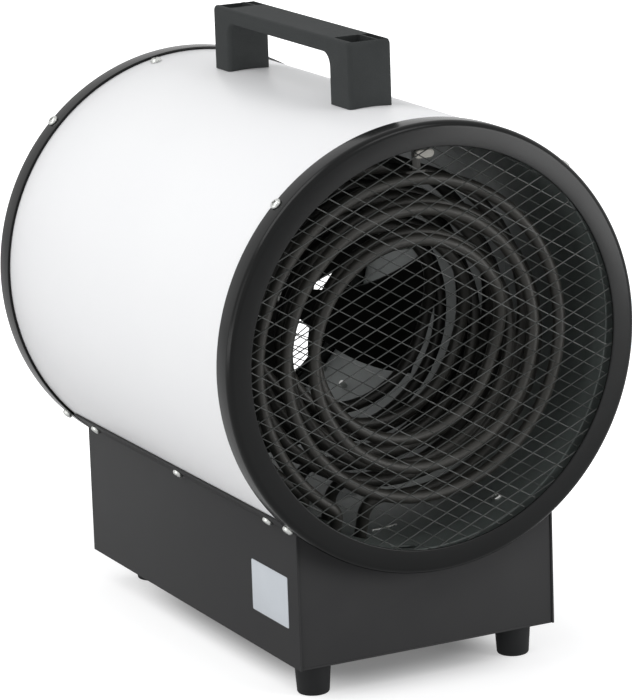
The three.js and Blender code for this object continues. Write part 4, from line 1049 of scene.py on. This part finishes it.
def rods_round(centre, y, count, first_angle, ends, radius, segments):
    """Rods in a ring about a centre (x, z), between two ends of (distance, height above y)."""
    rods = []
    for i in range(count):
        turn = math.radians(first_angle + 360 / count * i)
        rods.append(rod(*((centre[0] + distance * math.sin(turn), y + height,
                           centre[1] + distance * math.cos(turn)) for distance, height in ends),
                        radius, segments))
    return rods


def add_dials():
    """The two fluted dials, each with a raised pointer across its face."""
    front = REAR_PANEL_Y + CLEARANCE
    back, bore_end = front + DIAL_DEPTH, front + DIAL_BORE_DEPTH
    corners = [(SPINDLE_HOLE_RADIUS, front), *((radius, front + height) for radius, height in DIAL_STEPS),
               (0, back), (0, bore_end), (SPINDLE_HOLE_RADIUS, bore_end)]
    profile = rounded(corners, DIAL_ROUNDING, steps=5)
    for name, x in DIAL_XS.items():
        centre = x, CONTROL_Z
        dial = lathe(f"{name}_dial", profile, WIDE_ROUND, centre)
        combine(dial, rods_round(centre, front, FLUTES, 180 / FLUTES, FLUTE_ENDS, FLUTE_RADIUS, 16))
        low, high = (CONTROL_Z + z for z in POINTER_REACH)
        mark = rounded(rectangle(x - POINTER_HALF, low, x + POINTER_HALF, high), POINTER_CORNER)
        pointer = extruded("tool", mark, back - POINTER_SUNK, back + POINTER_PROUD, "y")
        combine(dial, [bevelled(pointer, 0.4, angle=50)], "UNION")
        dress(dial, "black_plastic", f"{name}_knob", body=f"{name}_control")


def add_gland():
    """The cable gland through the rear panel, with a slotted cap, and its nut inside."""
    centre = GLAND_X, GLAND_Z
    inside = REAR_PANEL_Y - BASE_WALL
    end = inside - GLAND_THREAD_LENGTH
    corners = [(GLAND_BORE, end), (GLAND_THREAD, end), (GLAND_THREAD, REAR_PANEL_Y)]
    corners += [(radius, REAR_PANEL_Y + height) for radius, height in GLAND_STEPS]
    gland = lathe("inlet_gland", rounded(corners, GLAND_ROUNDING), MIDDLE_ROUND, centre)
    tools = []
    for y in (end + start for start in THREAD_GROOVES):
        groove = [(GLAND_THREAD - GROOVE_DEPTH, y), (GLAND_THREAD + GROOVE_HALF, y - GROOVE_HALF),
                  (GLAND_THREAD + GROOVE_HALF, y + GROOVE_HALF)]
        tools.append(lathe("tool", groove, MIDDLE_ROUND, centre))
    tools += rods_round(centre, REAR_PANEL_Y, CAP_SLOTS, 0, CAP_SLOT_ENDS, CAP_SLOT_RADIUS, 12)
    dress(combine(gland, tools), "black_plastic", "cable_gland")
    flats = [(GLAND_X + NUT_CORNER_RADIUS * math.cos(a), GLAND_Z + NUT_CORNER_RADIUS * math.sin(a))
             for a in circle_angles(6)]
    nut = extruded("gland_lock_nut", flats, inside - NUT_THICKNESS, inside, "y")
    combine(nut, [rod((GLAND_X, end, GLAND_Z), (GLAND_X, inside + CUT_REACH, GLAND_Z),
                      GLAND_HOLE_RADIUS, SMALL_ROUND)])
    dress(bevelled(nut, 0.5, segments=3, angle=50), "black_plastic", "cable_gland_nut")


# ---- Screws ----

HEAD_RADIUS = 3.9
HEAD_HEIGHT = 2.5
SHANK_RADIUS = 2
HEAD_DOME = ((1, 0), (1, 0.28), (0.93, 0.62), (0.74, 0.86), (0.45, 0.97), (0, 1))  # as shares
CROSS_LENGTH_HALF, CROSS_WIDTH_HALF = 1.9, 0.45
CROSS_FLOOR_SHARE = 0.55
BOX_FACES = [(0, 1, 3, 2), (4, 6, 7, 5), (0, 4, 5, 1), (2, 3, 7, 6), (0, 2, 6, 4), (1, 5, 7, 3)]
RING_SCREW_YS = {"front": 13.2, "rear": 367.5}
RING_SCREW_ANGLES = (44.5, 135.5, 224.5, 315.5)
SIDE_SCREW_YS = (51, 189, 327)
SIDE_SCREW_ANGLE = 137.6
TOP_SCREW_Y, TOP_SCREW_ANGLE = 349, 12.4
SLEEVE_SCREW_Y, SLEEVE_SCREW_ANGLE = 44, 209
FIRST_SPIN, NEXT_SPIN = 1.1, 0.7  # radians that the crosses are turned by


def screw_template(length):
    """A pan head screw along +Y with a cross recess, in millimetres from its head's underside."""
    dome = [(r * HEAD_RADIUS, y * HEAD_HEIGHT) for r, y in HEAD_DOME]
    screw = lathe("screw", [(0, -length), (SHANK_RADIUS, -length), (SHANK_RADIUS, 0)] + dome,
                  segments=32)
    for vertex in screw.data.vertices:
        vertex.co = part_millimetres(vertex.co)
    tools = []
    for half_x, half_z in ((CROSS_WIDTH_HALF, CROSS_LENGTH_HALF), (CROSS_LENGTH_HALF, CROSS_WIDTH_HALF)):
        mesh = bpy.data.meshes.new("tool")
        mesh.from_pydata([(x, y, z) for x in (-half_x, half_x)
                          for y in (CROSS_FLOOR_SHARE * HEAD_HEIGHT, 2 * HEAD_HEIGHT)
                          for z in (-half_z, half_z)], [], BOX_FACES)
        tools.append(link_object("tool", mesh))
    combine(screw, tools)
    mesh = screw.data
    bpy.data.objects.remove(screw)
    return mesh


def place_screw(name, template, seat, direction, spin, *nodes):
    """A copy of the template screw with its head's underside on the seat."""
    mesh = template.copy()
    turn = Vector((0, 1, 0)).rotation_difference(Vector(direction)).to_matrix()
    turn = turn @ Matrix.Rotation(spin, 3, "Y")
    for vertex in mesh.vertices:
        vertex.co = Vector(row_metres(np.array(turn @ vertex.co) + seat))
    dress(link_object(name, mesh), "zinc_steel", *nodes)


def add_screws():
    short, long = screw_template(8), screw_template(18)
    radial = [(f"{end}_screw_{i + 1}", RING_RADIUS + CLEARANCE, angle, y, f"{end}_ring_screw_{i + 1}")
              for end, y in RING_SCREW_YS.items() for i, angle in enumerate(RING_SCREW_ANGLES)]
    flange = DRUM_RADIUS + 2 * CLEARANCE + BASE_WALL
    radial += [(f"side_screw_{side}_{i + 1}", flange, sign * SIDE_SCREW_ANGLE, y,
                f"base_screw_{side}_{i + 1}")
               for side, sign in (("left", 1), ("right", -1)) for i, y in enumerate(SIDE_SCREW_YS)]
    for i, (name, radius, angle, y, node) in enumerate(radial):
        spin = FIRST_SPIN + NEXT_SPIN * i
        place_screw(name, short, on_drum(radius, angle, y), outwards(angle), spin, node)
    place_screw("sleeve_screw", short,
                on_drum(SLEEVE_RADIUS - SLEEVE_WALL, SLEEVE_SCREW_ANGLE, SLEEVE_SCREW_Y),
                -outwards(SLEEVE_SCREW_ANGLE), spin)
    place_screw("top_screw", short, on_drum(DRUM_SEAT, TOP_SCREW_ANGLE, TOP_SCREW_Y),
                outwards(TOP_SCREW_ANGLE), spin, "drum_screw")
    for end, y in zip(("front", "rear"), HANDLE_SCREW_YS):
        place_screw(f"grip_screw_{end}", long, np.array((0, y, WELL_FLOOR + CLEARANCE)), (0, 0, 1),
                    spin, f"handle_screw_{end}")


# ---- What stays from the CAD ----

def dress_nodes():
    slots = {s["node"]: s["material_slot"] for s in frame["record"]["subparts"]}
    for name, node in frame["nodes"].items():
        if node.hide_render:
            continue
        node.data.materials.clear()
        node.data.materials.append(MATERIALS[slots[name]])
        shade(node.data, SMOOTH_ANGLE)


bpy.context.scene.view_settings.view_transform = "Standard"
add_camera()
add_world()
add_floor()
add_lights()
MATERIALS = {name: surface(name, *look, **FINER_LOOKS.get(name, {})) for name, look in LOOKS.items()}
add_drum()
add_rings()
add_sleeve()
add_mesh("front_net", "front_grille", False)
add_mesh("rear_net", "rear_grille", True)
add_elements()
add_base()
add_feet()
add_handle()
add_fan()
add_motor()
add_element_strap()
add_dials()
add_gland()
add_screws()
dress_nodes()
